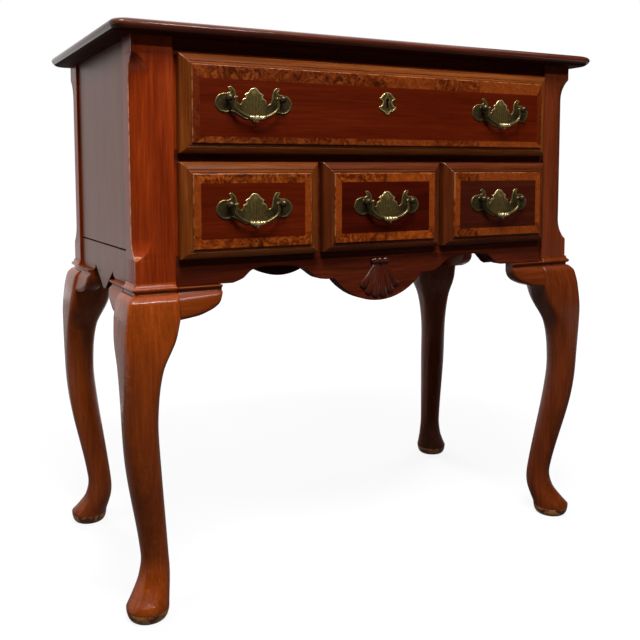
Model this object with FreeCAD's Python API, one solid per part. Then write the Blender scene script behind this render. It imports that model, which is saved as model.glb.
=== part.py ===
"""Lowboy: a low chest of four drawers on cabriole legs. Millimetres, +Z up, front towards -Y."""
import FreeCAD, Part
import os
from math import cos, pi, radians, sin, sqrt

V = FreeCAD.Vector

# Case, seen from the front
CASE_W = 720.0
CASE_D = 355.0
POST_W = 52.5
POST_D = 43.0
RECESS = 4.0
PANEL_T = 18.0
RAIL_T = 20.0
BACK_T = 8.0
BACK_INSET = 9.5
TONGUE = 8.0
TENON = 12.0
TENON_T = 10.0
TENON_SHOULDER = 5.0
APRON_JOINT = 2.0
GROOVE_STOP = 12.0

# Heights, from the floor up
LEG_H = 435.0
APRON_RISE = 33.0
SIDE_APRON_RISE = 39.0
SHORT_H = 112.0
DIVIDER_H = 22.0
LONG_H = 114.0
TOP_RAIL_H = 24.8
TOP_T = 16.8

# Widths of the drawer openings
STILE_W = 10.0
PARTITION_T = 18.0
MIDDLE_W = 186.0

# Top board
SIDE_OVER = 28.5
FRONT_OVER = 23.0
BACK_OVER = 12.0
TOP_CORNER_R = 8.0
NOSE_H = 8.0
NOSE_UNDERCUT = 1.5
THUMB_W = 20.0

# Stopped chamfer on the outer corner of each post
CHAMFER_X = 23.0
CHAMFER_Y = 18.0
CHAMFER_TOP = 20.0
CHAMFER_BOTTOM = 27.0
CHAMFER_RUN = 32.0

# Cabriole leg: reach outside the corner of the case (+), and reach inside it
HEAD_STEP = 7.0
CAP_H = 15.0
BEAD_OUT = 5.0
COVE_OUT = 2.0
CAP_TOP_OUT = 1.5
KNEE_TOP_OUT = 8.0
SHOULDER_OUT = 11.5
SHOULDER_DROP = 23.0
KNEE_OUT = 19.6
KNEE_DROP = 92.0
KNEE_LOW_OUT = 16.4
BLOCK_DROP = 47.5
HEAD_IN = 54.0
KNEE_IN = 47.5
KNEE_IN_DROP = 72.0
CALF_TOP_IN = 30.8
CALF_TOP_DROP = 110.0
CALF_IN = 25.0
CALF_DROP = 170.0
SHIN_OUT = 16.6
SHIN_IN = 27.8
SHIN_DROP = 219.5
ANKLE_Z = 76.0
ANKLE_OUT = -7.4
ANKLE_IN = 43.3
INSTEP_Z = 48.0
INSTEP_OUT = -3.5
INSTEP_IN = 44.3
TOE_Z = 29.0
TOE_OUT = 7.5
FOOT_R = 27.6
FOOT_SET = 10.8
FOOT_Z = 16.5
SOLE_R = 20.5
SHARP_KNEE = 0.05
BLUNT_KNEE = 0.1
MID_KNEE = 0.15
CALF_ROUND = 0.4
ROUND_SHANK = 0.49
LEG_STATIONS = 15
DOWEL_R = 9.0
DOWEL_L = 70.0

# Knee blocks
BLOCK_L = 60.0
BLOCK_T = 20.0
BLOCK_END_H = 13.5
BLOCK_END_OUT = 9.0
BLOCK_SET = 3.5

# Front and back apron outline
END_FLAT = 80.0
PEAK_X = 166.0
PEAK_RISE = 19.0
PENDANT_X = 75.0
PENDANT_LEDGE = 13.0
LEDGE_DROP = 4.0
PENDANT_DROP = 40.0

# Side apron outline
NOTCH_Y = 50.0
NOTCH_W = 12.0
NOTCH_RISE = 9.0
TIP_DROP = 21.0
TIP_R = 14.0

# Shell on the front apron
SHELL_LOBES = 6
SHELL_SPREAD = 68.0
SHELL_UP = 25.0
SHELL_L = 55.5
SHELL_OUTER_L = 48.5
LOBE_R = 5.0
LOBE_NECK = 0.9
LOBE_TIP_R = 0.8
LOBE_SINK = 0.7
SCROLL_W = 31.0
SCROLL_R = 4.2
SCROLL_DROP = 6.0

# Runners and cleats
RUNNER_W = 24.0
RUNNER_T = 12.0
GUIDE_H = 20.0
MID_RUNNER_W = 50.0
CLEAT_W = 22.0
CLEAT_H = 20.0
SCREW_R = 2.2
SCREW_HEAD_R = 4.2
SCREW_HEAD_H = 2.6
SCREW_BITE = 11.0
SCREW_INSET = 45.0

# Drawers
LIP = 5.2
LIP_T = 6.7
LIP_GAP = 0.4
MOULD_W = 13.5
FIELD_RISE = 11.5
FIELD_STEP = 2.6
FRONT_TONGUE = 6.0
SIDE_CLEAR = 1.0
RUN_CLEAR = 0.3
TOP_CLEAR = 2.0
BACK_CLEAR = 12.0
SIDE_T = 10.0
BOTTOM_T = 6.0
BOTTOM_UP = 8.0
GROOVE = 5.0
BACK_LOW = 6.0
TAIL_L = 10.0
TAIL_W = 18.0
TAIL_FLARE = 3.0
TAIL_PITCH = 32.0

# Pulls
PULL_RISE = 8.0
BORING = 74.4
PLATE_T = 1.4
PLATE_HALF = 52.5
PLATE_UP = 15.2
PLATE_DOWN = 32.0
PULL_STAND = 9.5
POST_R = 2.5
KNOB_R = 5.2
NUT_R = 5.5
NUT_T = 3.0
BAIL_HALF = 28.5
BAIL_DROP = 25.0
BAIL_ARM = 8.0
BAIL_BEND_R = 13.0
BAIL_R = 2.2
PIVOT_R = 1.6
PIVOT_CLEAR = 0.05
PIVOT_IN = 2.4
BEAD_R = 3.9
SIDE_BEAD_R = 2.7
SIDE_BEAD_X = 5.4
FINIAL_L = 6.2
FINIAL_R = 0.6

# Escutcheon and lock
KEY_PLATE_HALF = 15.0
KEY_PLATE_UP = 11.2
KEY_PLATE_DOWN = 20.8
KEY_RISE = 13.8
KEY_R = 2.6
KEY_SLOT_W = 2.6
KEY_SLOT_L = 10.0
LOCK_W = 60.0
LOCK_T = 10.0
LOCK_WALL = 2.0
LOCK_TOP_GAP = 0.5
LOCK_BELOW_KEY = 16.0
BOLT_W = 22.0
BOLT_T = 5.0
BOLT_L = 24.0
BOLT_CLEAR = 0.3
BOLT_TRAVEL = 9.0
MORTISE_CLEAR = 1.0

# Places worked out from the sizes above
HALF_W = CASE_W / 2
HALF_D = CASE_D / 2
POST_X = HALF_W - POST_W
POST_Y = HALF_D - POST_D
PANEL_OUT = HALF_W - RECESS
PANEL_IN = PANEL_OUT - PANEL_T
FRAME_Y = HALF_D - RECESS
RAIL_Y = FRAME_Y - RAIL_T
BACK_IN = HALF_D - BACK_INSET - BACK_T
BACK_OUT = HALF_D - BACK_INSET
SHORT_Z = LEG_H + APRON_RISE
DIVIDER_Z = SHORT_Z + SHORT_H
LONG_Z = DIVIDER_Z + DIVIDER_H
TOP_RAIL_Z = LONG_Z + LONG_H
CASE_TOP = TOP_RAIL_Z + TOP_RAIL_H
OPEN_X = POST_X - STILE_W
BLOCK_TOP = LEG_H - HEAD_STEP
BLOCK_LOW = LEG_H - BLOCK_DROP
KNEE_TOP = LEG_H - CAP_H
APRON_TOP = SHORT_Z
SIDE_JOINT = LEG_H + SIDE_APRON_RISE
PARTITION_X = (MIDDLE_W + PARTITION_T) / 2
LIP_BACK = -FRAME_Y - LIP_GAP
LIP_FRONT = LIP_BACK - LIP_T
FIELD_Y = LIP_FRONT - FIELD_RISE
FRONT_BACK = LIP_BACK + FRONT_TONGUE
DRAWER_END = BACK_IN - BACK_CLEAR
POST_CENTRE_X = HALF_W - POST_W / 2
POST_CENTRE_Y = HALF_D - POST_D / 2


def box(x0, x1, y0, y1, z0, z1):
    return Part.makeBox(x1 - x0, y1 - y0, z1 - z0, V(x0, y0, z0))


def mirror_x(shape):
    return shape.mirror(V(0, 0, 0), V(1, 0, 0))


def mirror_y(shape):
    return shape.mirror(V(0, 0, 0), V(0, 1, 0))


def spline(points, first=None, last=None):
    curve = Part.BSplineCurve()
    if first is None:
        curve.interpolate(points)
    else:
        curve.interpolate(Points=points, InitialTangent=first, FinalTangent=last)
    return curve.toShape()


def line(a, b):
    return Part.makeLine(a, b)


def arc(a, b, c):
    return Part.Arc(a, b, c).toShape()


def slab(edges, direction):
    return Part.Face(Part.Wire(edges)).extrude(direction)


def polygon(points, direction):
    return Part.Face(Part.makePolygon(points + points[:1])).extrude(direction)


def joined(shapes):
    return shapes[0].multiFuse(shapes[1:])


def rounded(x0, x1, y0, y1, z, radius, inner=None):
    """Closed wire of a rectangle with round corners; inner rounds the corner at x1, y1."""
    r = radius
    q = radius if inner is None else inner
    k = r * (1 - sqrt(0.5))
    m = q * (1 - sqrt(0.5))
    return Part.Wire([
        line(V(x0 + r, y0, z), V(x1 - r, y0, z)),
        arc(V(x1 - r, y0, z), V(x1 - k, y0 + k, z), V(x1, y0 + r, z)),
        line(V(x1, y0 + r, z), V(x1, y1 - q, z)),
        arc(V(x1, y1 - q, z), V(x1 - m, y1 - m, z), V(x1 - q, y1, z)),
        line(V(x1 - q, y1, z), V(x0 + r, y1, z)),
        arc(V(x0 + r, y1, z), V(x0 + k, y1 - k, z), V(x0, y1 - r, z)),
        line(V(x0, y1 - r, z), V(x0, y0 + r, z)),
        arc(V(x0, y0 + r, z), V(x0 + k, y0 + k, z), V(x0 + r, y0, z))])


def along(points, z):
    """Smooth height of a curve through (z, value) points listed upwards."""
    i = 0
    while i < len(points) - 2 and z > points[i + 1][0]:
        i += 1

    def slope(j):
        lo = points[max(j - 1, 0)]
        hi = points[min(j + 1, len(points) - 1)]
        return (hi[1] - lo[1]) / (hi[0] - lo[0])

    span = points[i + 1][0] - points[i][0]
    t = (z - points[i][0]) / span
    h1 = 1 - 3 * t * t + 2 * t ** 3
    h3 = t - 2 * t * t + t ** 3
    h4 = t ** 3 - t * t
    bend = span * (h3 * slope(i) + h4 * slope(i + 1))
    return h1 * points[i][1] + (1 - h1) * points[i + 1][1] + bend


# Top board
def top_board():
    x = HALF_W + SIDE_OVER
    front = -HALF_D - FRONT_OVER
    back = HALF_D + BACK_OVER
    wires = []
    crown = TOP_T - NOSE_H
    steps = [(0.0, NOSE_UNDERCUT), (NOSE_H * 0.4, NOSE_UNDERCUT * 0.25), (NOSE_H, 0.0)]
    for turn in (20, 35, 48, 60, 71, 81, 90):
        steps.append((NOSE_H + crown * sin(radians(turn)), THUMB_W * (1 - cos(radians(turn))) ** 1.3))
    for rise, inset in steps:
        z = CASE_TOP + rise
        wires.append(rounded(-x + inset, x - inset, front + inset, back - inset, z, TOP_CORNER_R))
    return Part.makeLoft(wires, True, True)


# Corner posts
def chamfer_cut():
    """Tool for the stopped chamfer, on the corner at the front left."""
    corner = V(-HALF_W, -HALF_D, 0)
    out = V(-CHAMFER_Y, -CHAMFER_X, 0)
    out.normalize()
    tangent = V(-CHAMFER_X, CHAMFER_Y, 0)
    tangent.normalize()
    depth = CHAMFER_X * CHAMFER_Y / sqrt(CHAMFER_X ** 2 + CHAMFER_Y ** 2)
    top = CASE_TOP - CHAMFER_TOP
    low = LEG_H + CHAMFER_BOTTOM
    reach = CHAMFER_X + CHAMFER_Y

    def at(inward, z):
        return corner - out * inward - tangent * reach + V(0, 0, z)

    bend = sqrt(0.5)
    edges = [
        line(at(-reach, low), at(0, low)),
        arc(at(0, low), at(depth * bend, low + CHAMFER_RUN * (1 - bend)), at(depth, low + CHAMFER_RUN)),
        line(at(depth, low + CHAMFER_RUN), at(depth, top - CHAMFER_RUN)),
        arc(at(depth, top - CHAMFER_RUN), at(depth * bend, top - CHAMFER_RUN * (1 - bend)), at(0, top)),
        line(at(0, top), at(-reach, top)),
        line(at(-reach, top), at(-reach, low))]
    return slab(edges, tangent * (2 * reach))


def tenon_z():
    """Lower and upper heights of the tenons of the three cross rails."""
    return {
        "apron": (LEG_H + TENON_SHOULDER, APRON_TOP - TENON_SHOULDER),
        "divider": (DIVIDER_Z + TENON_SHOULDER, LONG_Z - TENON_SHOULDER),
        "top": (TOP_RAIL_Z + TENON_SHOULDER, CASE_TOP)}


def tenon(name):
    """Tenon of a front rail, at its left end."""
    z0, z1 = tenon_z()[name]
    y0 = -FRAME_Y + (RAIL_T - TENON_T) / 2
    return box(-POST_X - TENON, -POST_X, y0, y0 + TENON_T, z0, z1)


def side_tongue(z0, z1):
    """Tongue on the front edge of a left side board."""
    x0 = -PANEL_OUT + (PANEL_T - TONGUE) / 2
    return box(x0, x0 + TONGUE, -POST_Y - TONGUE, -POST_Y, z0, z1)


def back_tongue():
    """Tongue on the left edge of the back panel."""
    return box(-POST_X - TONGUE, -POST_X, BACK_IN, BACK_OUT, APRON_TOP, CASE_TOP)


def dowel(length_up, length_down):
    at = V(-POST_CENTRE_X, -POST_CENTRE_Y, LEG_H - length_down)
    return Part.makeCylinder(DOWEL_R, length_up + length_down, at)


def post(front):
    """Left post: the front one, or the rear one when front is false."""
    body = box(-HALF_W, -POST_X, -HALF_D, -POST_Y, LEG_H, CASE_TOP)
    cuts = [chamfer_cut(), side_tongue(LEG_H, SIDE_JOINT - APRON_JOINT), side_tongue(SIDE_JOINT, CASE_TOP)]
    cuts.append(dowel(DOWEL_L / 2, 0.0))
    cuts.append(tenon("apron"))
    if front:
        cuts.append(tenon("divider"))
        cuts.append(tenon("top"))
    body = body.cut(joined(cuts))
    if front:
        return body
    return mirror_y(body).cut(back_tongue())


# Cabriole legs
def leg_curves():
    """Reach of the leg outside and inside the case corner, and its roundness, against height."""
    shin = LEG_H - SHIN_DROP
    outer = [
        (FOOT_Z, FOOT_R - FOOT_SET),
        (TOE_Z, TOE_OUT),
        (INSTEP_Z, INSTEP_OUT),
        (ANKLE_Z, ANKLE_OUT),
        (shin, SHIN_OUT),
        (LEG_H - KNEE_DROP, KNEE_OUT),
        (BLOCK_LOW, KNEE_LOW_OUT),
        (LEG_H - SHOULDER_DROP, SHOULDER_OUT),
        (KNEE_TOP, KNEE_TOP_OUT)]
    inner = [
        (FOOT_Z, FOOT_SET + FOOT_R),
        (INSTEP_Z, INSTEP_IN),
        (ANKLE_Z, ANKLE_IN),
        (shin, SHIN_IN),
        (LEG_H - CALF_DROP, CALF_IN),
        (LEG_H - CALF_TOP_DROP, CALF_TOP_IN),
        (LEG_H - KNEE_IN_DROP, KNEE_IN),
        (BLOCK_LOW, HEAD_IN)]
    roundness = [
        (FOOT_Z, ROUND_SHANK),
        (ANKLE_Z, ROUND_SHANK),
        (LEG_H - CALF_DROP, CALF_ROUND),
        (LEG_H - KNEE_DROP, MID_KNEE),
        (BLOCK_LOW, BLUNT_KNEE)]
    return outer, inner, roundness


def leg_section(z, out, into, share):
    side = out + into
    x0 = -HALF_W - out
    y0 = -HALF_D - out
    return rounded(x0, x0 + side, y0, y0 + side, z, share * side, ROUND_SHANK * side)


def leg():
    """Front left leg with its pad foot, knee and moulded head."""
    outer, inner, roundness = leg_curves()
    shank = []
    for i in range(LEG_STATIONS):
        z = FOOT_Z + (BLOCK_LOW - FOOT_Z) * i / (LEG_STATIONS - 1)
        shank.append(leg_section(z, along(outer, z), along(inner, z), along(roundness, z)))
    sole = []
    for turn in (0, 35, 65, 90):
        radius = SOLE_R + (FOOT_R - SOLE_R) * sin(radians(turn))
        z = FOOT_Z * (1 - cos(radians(turn)))
        sole.append(leg_section(z, radius - FOOT_SET, radius + FOOT_SET, ROUND_SHANK))
    knee = []
    for share in (0.0, 0.3, 0.55, 0.76, 0.9, 1.0):
        z = BLOCK_LOW + (KNEE_TOP - BLOCK_LOW) * share
        corner = along(roundness, BLOCK_LOW) * (1 - share) + SHARP_KNEE * share
        knee.append(leg_section(z, along(outer, z), HEAD_IN, corner))
    cap = []
    for rise, out in cap_profile():
        cap.append(leg_section(KNEE_TOP + rise, out, HEAD_IN, SHARP_KNEE))
    parts = [Part.makeLoft(wires, True, False) for wires in (shank, sole, knee, cap)]
    body = joined(parts)
    far = HALF_W
    body = body.cut(box(-POST_X, far, -far, far, BLOCK_TOP, LEG_H))
    body = body.cut(box(-far, far, -POST_Y, far, BLOCK_TOP, LEG_H))
    return body.cut(dowel(0.0, DOWEL_L / 2))


def cap_profile():
    """Cove and bead of the leg head: (height above the knee, reach)."""
    cove = CAP_H - HEAD_STEP
    swell = BEAD_OUT - COVE_OUT
    return [
        (0.0, COVE_OUT),
        (cove * 0.45, COVE_OUT),
        (cove * 0.8, COVE_OUT + swell * 0.6),
        (cove, BEAD_OUT),
        (cove + HEAD_STEP * 0.3, COVE_OUT + swell * 0.75),
        (cove + HEAD_STEP * 0.6, COVE_OUT),
        (CAP_H, CAP_TOP_OUT)]


def knee_block():
    """Front left knee block, under the apron and against the leg."""
    outer = leg_curves()[0]
    profile_z = [BLOCK_LOW + (KNEE_TOP - BLOCK_LOW) * share for share in (0.0, 0.4, 0.75, 1.0)]
    near = [(z, along(outer, z) - BLOCK_SET) for z in profile_z]
    far = [(z, BLOCK_END_OUT - (KNEE_OUT - along(outer, z)) * 0.3) for z in profile_z]
    head = [(KNEE_TOP + rise, out) for rise, out in cap_profile() if KNEE_TOP + rise <= BLOCK_TOP][1:]
    back = -HALF_D - BEAD_OUT + BLOCK_T
    x0 = -HALF_W + HEAD_IN
    wires = []
    for x, face in ((x0, near), (x0 + BLOCK_L, far)):
        pts = [V(x, -HALF_D - out, z) for z, out in face + head]
        low = V(x, back, BLOCK_LOW)
        high = V(x, back, BLOCK_TOP)
        wires.append(Part.Wire([spline(pts), line(pts[-1], high), line(high, low), line(low, pts[0])]))
    body = Part.makeLoft(wires, True, True)
    y = -HALF_D - KNEE_OUT - BEAD_OUT
    end = x0 + BLOCK_L
    foot = BLOCK_TOP - BLOCK_END_H
    sag = foot - BLOCK_LOW
    under = [
        spline([
            V(x0, y, BLOCK_LOW), V(x0 + BLOCK_L * 0.42, y, BLOCK_LOW + sag * 0.12),
            V(x0 + BLOCK_L * 0.63, y, BLOCK_LOW + sag * 0.26),
            V(x0 + BLOCK_L * 0.83, y, BLOCK_LOW + sag * 0.46),
            V(x0 + BLOCK_L * 0.95, y, BLOCK_LOW + sag * 0.7), V(end, y, foot)]),
        line(V(end, y, foot), V(end + 1, y, foot)),
        line(V(end + 1, y, foot), V(end + 1, y, BLOCK_LOW - 1)),
        line(V(end + 1, y, BLOCK_LOW - 1), V(x0, y, BLOCK_LOW - 1)),
        line(V(x0, y, BLOCK_LOW - 1), V(x0, y, BLOCK_LOW))]
    return body.cut(slab(under, V(0, BLOCK_T + KNEE_OUT + BEAD_OUT + HALF_D, 0)))


def side_block():
    """Left front side block: the front block turned about the corner's diagonal."""
    return knee_block().mirror(V(-HALF_W, -HALF_D, 0), V(1, -1, 0))


# Aprons and panels
def cross_apron():
    """Front apron: scalloped, with a round pendant."""
    y = -FRAME_Y
    foot = BLOCK_TOP
    ledge = foot - LEDGE_DROP
    start = POST_X - END_FLAT
    stop = PENDANT_X + PENDANT_LEDGE
    half = [
        V(-start, y, foot), V(-(start + PEAK_X) / 2 - 1, y, foot + PEAK_RISE * 0.88),
        V(-PEAK_X, y, foot + PEAK_RISE), V(-(PEAK_X + stop) / 2, y, foot + PEAK_RISE * 0.78),
        V(-stop, y, ledge)]
    flat = V(1, 0, 0)
    left = [
        line(V(-POST_X, y, APRON_TOP), V(-POST_X, y, foot)),
        line(V(-POST_X, y, foot), half[0]),
        spline(half, flat, flat),
        line(half[-1], V(-PENDANT_X, y, ledge))]
    right = [mirror_x(edge) for edge in left]
    tip = arc(V(-PENDANT_X, y, ledge), V(0, y, foot - PENDANT_DROP), V(PENDANT_X, y, ledge))
    over = line(V(POST_X, y, APRON_TOP), V(-POST_X, y, APRON_TOP))
    wire = Part.Wire(Part.__sortEdges__(left + [tip] + right + [over]))
    body = Part.Face(wire).extrude(V(0, RAIL_T, 0))
    peg = tenon("apron")
    return joined([body, peg, mirror_x(peg)])


def back_apron():
    body = mirror_y(cross_apron())
    return body.cut(box(-POST_X, POST_X, BACK_IN, BACK_OUT, APRON_TOP - TONGUE, APRON_TOP))


def back_panel():
    body = box(-POST_X, POST_X, BACK_IN, BACK_OUT, APRON_TOP - TONGUE, CASE_TOP)
    ear = back_tongue()
    return joined([body, ear, mirror_x(ear)])


def cross_rail(name, z0, z1):
    peg = tenon(name)
    return joined([box(-POST_X, POST_X, -FRAME_Y, -RAIL_Y, z0, z1), peg, mirror_x(peg)])


def top_rail():
    body = cross_rail("top", TOP_RAIL_Z, CASE_TOP)
    room = BOLT_W / 2 + MORTISE_CLEAR
    depth = BOLT_T / 2 + MORTISE_CLEAR
    y = FRONT_BACK + LOCK_T / 2
    return body.cut(box(-room, room, y - depth, y + depth, TOP_RAIL_Z, TOP_RAIL_Z + BOLT_TRAVEL))


def joint_tongue():
    """Stopped tongue on top of the left side apron that enters the side panel."""
    x0 = -PANEL_OUT + (PANEL_T - TONGUE) / 2
    end = POST_Y - GROOVE_STOP
    return box(x0, x0 + TONGUE, -end, end, SIDE_JOINT - APRON_JOINT, SIDE_JOINT + TONGUE)


def side_apron():
    """Left side apron: two notches and a pointed pendant."""
    x = -PANEL_OUT
    foot = BLOCK_TOP
    top = SIDE_JOINT - APRON_JOINT
    tip = foot - TIP_DROP
    slope = (foot + NOTCH_RISE - tip) / NOTCH_Y
    shoulder = tip + TIP_R * slope * 0.75
    peak = V(x, -NOTCH_Y, foot + NOTCH_RISE)
    left = [
        line(V(x, -POST_Y, top), V(x, -POST_Y, foot)),
        line(V(x, -POST_Y, foot), V(x, -NOTCH_Y - NOTCH_W, foot)),
        arc(V(x, -NOTCH_Y - NOTCH_W, foot), V(x, -NOTCH_Y - NOTCH_W * 0.3, foot + NOTCH_RISE * 0.4), peak),
        line(peak, V(x, -TIP_R, shoulder))]
    right = [mirror_y(edge) for edge in left]
    end = arc(V(x, -TIP_R, shoulder), V(x, 0, tip), V(x, TIP_R, shoulder))
    over = line(V(x, POST_Y, top), V(x, -POST_Y, top))
    wire = Part.Wire(Part.__sortEdges__(left + [end] + right + [over]))
    body = Part.Face(wire).extrude(V(PANEL_T, 0, 0))
    ear = side_tongue(LEG_H, top)
    return joined([body, ear, mirror_y(ear), joint_tongue()])


def side_panel():
    body = box(-PANEL_OUT, -PANEL_IN, -POST_Y, POST_Y, SIDE_JOINT, CASE_TOP)
    ear = side_tongue(SIDE_JOINT, CASE_TOP)
    return joined([body, ear, mirror_y(ear)]).cut(joint_tongue())


def shell():
    """Fan of lobes under a small scroll, applied to the apron's pendant."""
    y = -FRAME_Y
    head = V(0, y + LOBE_SINK, BLOCK_TOP + SHELL_UP)
    shapes = []
    for i in range(SHELL_LOBES):
        place = 2 * i / (SHELL_LOBES - 1) - 1
        turn = radians(SHELL_SPREAD / 2) * place
        way = V(sin(turn), 0, -cos(turn))
        length = SHELL_L - (SHELL_L - SHELL_OUTER_L) * place ** 2
        shapes.append(Part.makeCone(LOBE_TIP_R, LOBE_R * LOBE_NECK, length, head, way))
        shapes.append(Part.makeSphere(LOBE_R, head + way * length))
    left = head - V(SCROLL_W / 2, 0, SCROLL_DROP)
    shapes.append(Part.makeCylinder(SCROLL_R, SCROLL_W, left, V(1, 0, 0)))
    reach = SHELL_L * 2
    front = box(-reach, reach, y - reach, y, head.z - reach, head.z - SCROLL_DROP + SCROLL_R)
    return joined(shapes).common(front)


# Inside the case
def stiles():
    left = [
        box(-POST_X, -OPEN_X, -FRAME_Y, -RAIL_Y, SHORT_Z, DIVIDER_Z),
        box(-POST_X, -OPEN_X, -FRAME_Y, -RAIL_Y, LONG_Z, TOP_RAIL_Z)]
    return left + [mirror_x(shape) for shape in left]


def partitions():
    half = PARTITION_T / 2
    left = box(-PARTITION_X - half, -PARTITION_X + half, -FRAME_Y, BACK_IN, SHORT_Z, DIVIDER_Z)
    return [left, mirror_x(left)]


def runner(z, back):
    """Left runner and its guide strip; the drawer slides on height z."""
    deck = box(-POST_X, -POST_X + RUNNER_W, -RAIL_Y, back, z - RUNNER_T, z)
    wing = box(-PANEL_IN, -POST_X, -POST_Y, POST_Y, z - RUNNER_T, z)
    guide = box(-POST_X, -OPEN_X, -RAIL_Y, back, z, z + GUIDE_H)
    return [deck.fuse(wing), guide]


def long_runners():
    left = runner(LONG_Z, BACK_IN)
    return left + [mirror_x(shape) for shape in left]


def short_runners():
    left = runner(SHORT_Z, RAIL_Y)
    half = MID_RUNNER_W / 2
    left.append(box(-PARTITION_X - half, -PARTITION_X + half, -RAIL_Y, RAIL_Y, SHORT_Z - RUNNER_T, SHORT_Z))
    return left + [mirror_x(shape) for shape in left]


def screw_places():
    x = PANEL_IN - CLEAT_W / 2
    y = POST_Y - SCREW_INSET
    return [(sx * x, sy * y) for sx in (-1, 1) for sy in (-1, 1)]


def screws():
    shapes = []
    for x, y in screw_places():
        low = CASE_TOP - CLEAT_H
        head = Part.makeCylinder(SCREW_HEAD_R, SCREW_HEAD_H, V(x, y, low - SCREW_HEAD_H))
        shank = Part.makeCylinder(SCREW_R, CLEAT_H + SCREW_BITE, V(x, y, low))
        shapes.append(head.fuse(shank))
    return shapes


def cleats():
    left = box(-PANEL_IN, -PANEL_IN + CLEAT_W, -POST_Y, POST_Y, CASE_TOP - CLEAT_H, CASE_TOP)
    tools = joined(screws())
    return [left.cut(tools), mirror_x(left).cut(tools)]


# Drawers
def dovetails(x0, x1, z0, z1):
    """Tails that lock a drawer side into the drawer front."""
    count = int((z1 - z0) // TAIL_PITCH)
    first = (z0 + z1) / 2 - TAIL_PITCH * (count - 1) / 2
    tails = []
    for i in range(count):
        z = first + TAIL_PITCH * i
        near = TAIL_W / 2 - TAIL_FLARE
        wide = TAIL_W / 2
        y1 = FRONT_BACK - TAIL_L
        points = [
            V(x0, FRONT_BACK, z - near), V(x0, y1, z - wide),
            V(x0, y1, z + wide), V(x0, FRONT_BACK, z + near)]
        tails.append(polygon(points, V(x1 - x0, 0, 0)))
    return tails


def moulded_front(x0, x1, z0, z1):
    """Lipped drawer front over the opening x0 to x1, z0 to z1, without its joints."""
    lip = box(x0 - LIP, x1 + LIP, LIP_FRONT, LIP_BACK, z0 - LIP, z1 + LIP)
    tongue = box(x0 + SIDE_CLEAR, x1 - SIDE_CLEAR, LIP_BACK, FRONT_BACK, z0 + RUN_CLEAR, z1 - TOP_CLEAR)
    slope = FIELD_RISE - FIELD_STEP
    wires = []
    for share in (0.0, 0.12, 0.35, 0.65, 0.9, 1.0):
        inset = MOULD_W * share - LIP
        y = LIP_FRONT - slope * sin(share * pi / 2) ** 0.8
        a = V(x0 + inset, y, z0 + inset)
        b = V(x1 - inset, y, z0 + inset)
        c = V(x1 - inset, y, z1 - inset)
        d = V(x0 + inset, y, z1 - inset)
        wires.append(Part.makePolygon([a, b, c, d, a]))
    moulding = Part.makeLoft(wires, True, False)
    edge = MOULD_W - LIP
    field = box(x0 + edge, x1 - edge, FIELD_Y, LIP_FRONT - slope, z0 + edge, z1 - edge)
    return joined([lip, tongue, moulding, field])


def drawer(x0, x1, z0, z1, pull_xs):
    """Wooden pieces of a drawer in its opening."""
    left = x0 + SIDE_CLEAR
    right = x1 - SIDE_CLEAR
    low = z0 + RUN_CLEAR
    high = z1 - TOP_CLEAR
    floor = low + BOTTOM_UP
    bottom = box(left + SIDE_T - GROOVE, right - SIDE_T + GROOVE, FRONT_BACK - GROOVE, DRAWER_END,
                 floor, floor + BOTTOM_T)
    sides = []
    front = moulded_front(x0, x1, z0, z1)
    for a, b in ((left, left + SIDE_T), (right - SIDE_T, right)):
        tails = dovetails(a, b, floor + BOTTOM_T, high)
        front = front.cut(joined(tails))
        side = joined([box(a, b, FRONT_BACK, DRAWER_END, low, high)] + tails)
        sides.append(side.cut(bottom))
    front = front.cut(bottom)
    stems = []
    for x in pull_xs:
        stems += [pull_stem(x + s * BORING / 2, pull_height(z0, z1)) for s in (-1, 1)]
    front = front.cut(joined(stems))
    back = box(left + SIDE_T, right - SIDE_T, DRAWER_END - SIDE_T, DRAWER_END,
               floor + BOTTOM_T, high - BACK_LOW)
    return {"front": front, "sides": sides, "back": back, "bottom": bottom}


# Pulls
def pull_height(z0, z1):
    return (z0 + z1) / 2 + PULL_RISE


def pull_stem(x, z):
    return Part.makeCylinder(POST_R, FRONT_BACK - FIELD_Y, V(x, FIELD_Y, z), V(0, 1, 0))


def outline(centre, curves, half, up, down):
    """Closed wire of curves listed down the right half and mirrored, in shares of its three reaches."""
    edges = []
    for curve in curves:
        for side in (-1, 1):
            points = []
            for px, pz in curve:
                points.append(centre + V(side * px * half, 0, pz * (up if pz > 0 else down)))
            edges.append(spline(points))
    return Part.Wire(Part.__sortEdges__(edges))


def bat_wing(centre):
    """Outline of a pull's back plate: crest, leaf, hook, ear, wing and skirt."""
    leaf = (0.27, 0.18)
    notch = (0.15, -0.07)
    hook = (0.42, -0.28)
    ear = (0.625, 1.0)
    curl = (0.64, 0.57)
    wing_end = (0.74, -0.61)
    curves = [
        [(0, 0.9), (0.08, 0.64), (0.15, 0.4), leaf],
        [leaf, (0.2, 0.0), notch],
        [notch, (0.25, -0.12), (0.31, -0.24), (0.36, -0.335), hook],
        [hook, (0.49, -0.09), (0.5, 0.26), (0.55, 0.75), ear],
        [ear, (0.69, 0.89), (0.67, 0.73), curl],
        [curl, (0.7, 0.35), (0.84, 0.18), (0.945, -0.03), (1.0, -0.2), (0.96, -0.4), (0.855, -0.55),
         wing_end],
        [wing_end, (0.63, -0.6), (0.54, -0.65), (0.38, -0.76), (0.23, -0.885), (0.11, -0.865), (0, -1.0)]]
    return outline(centre, curves, PLATE_HALF, PLATE_UP, PLATE_DOWN)


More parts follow.
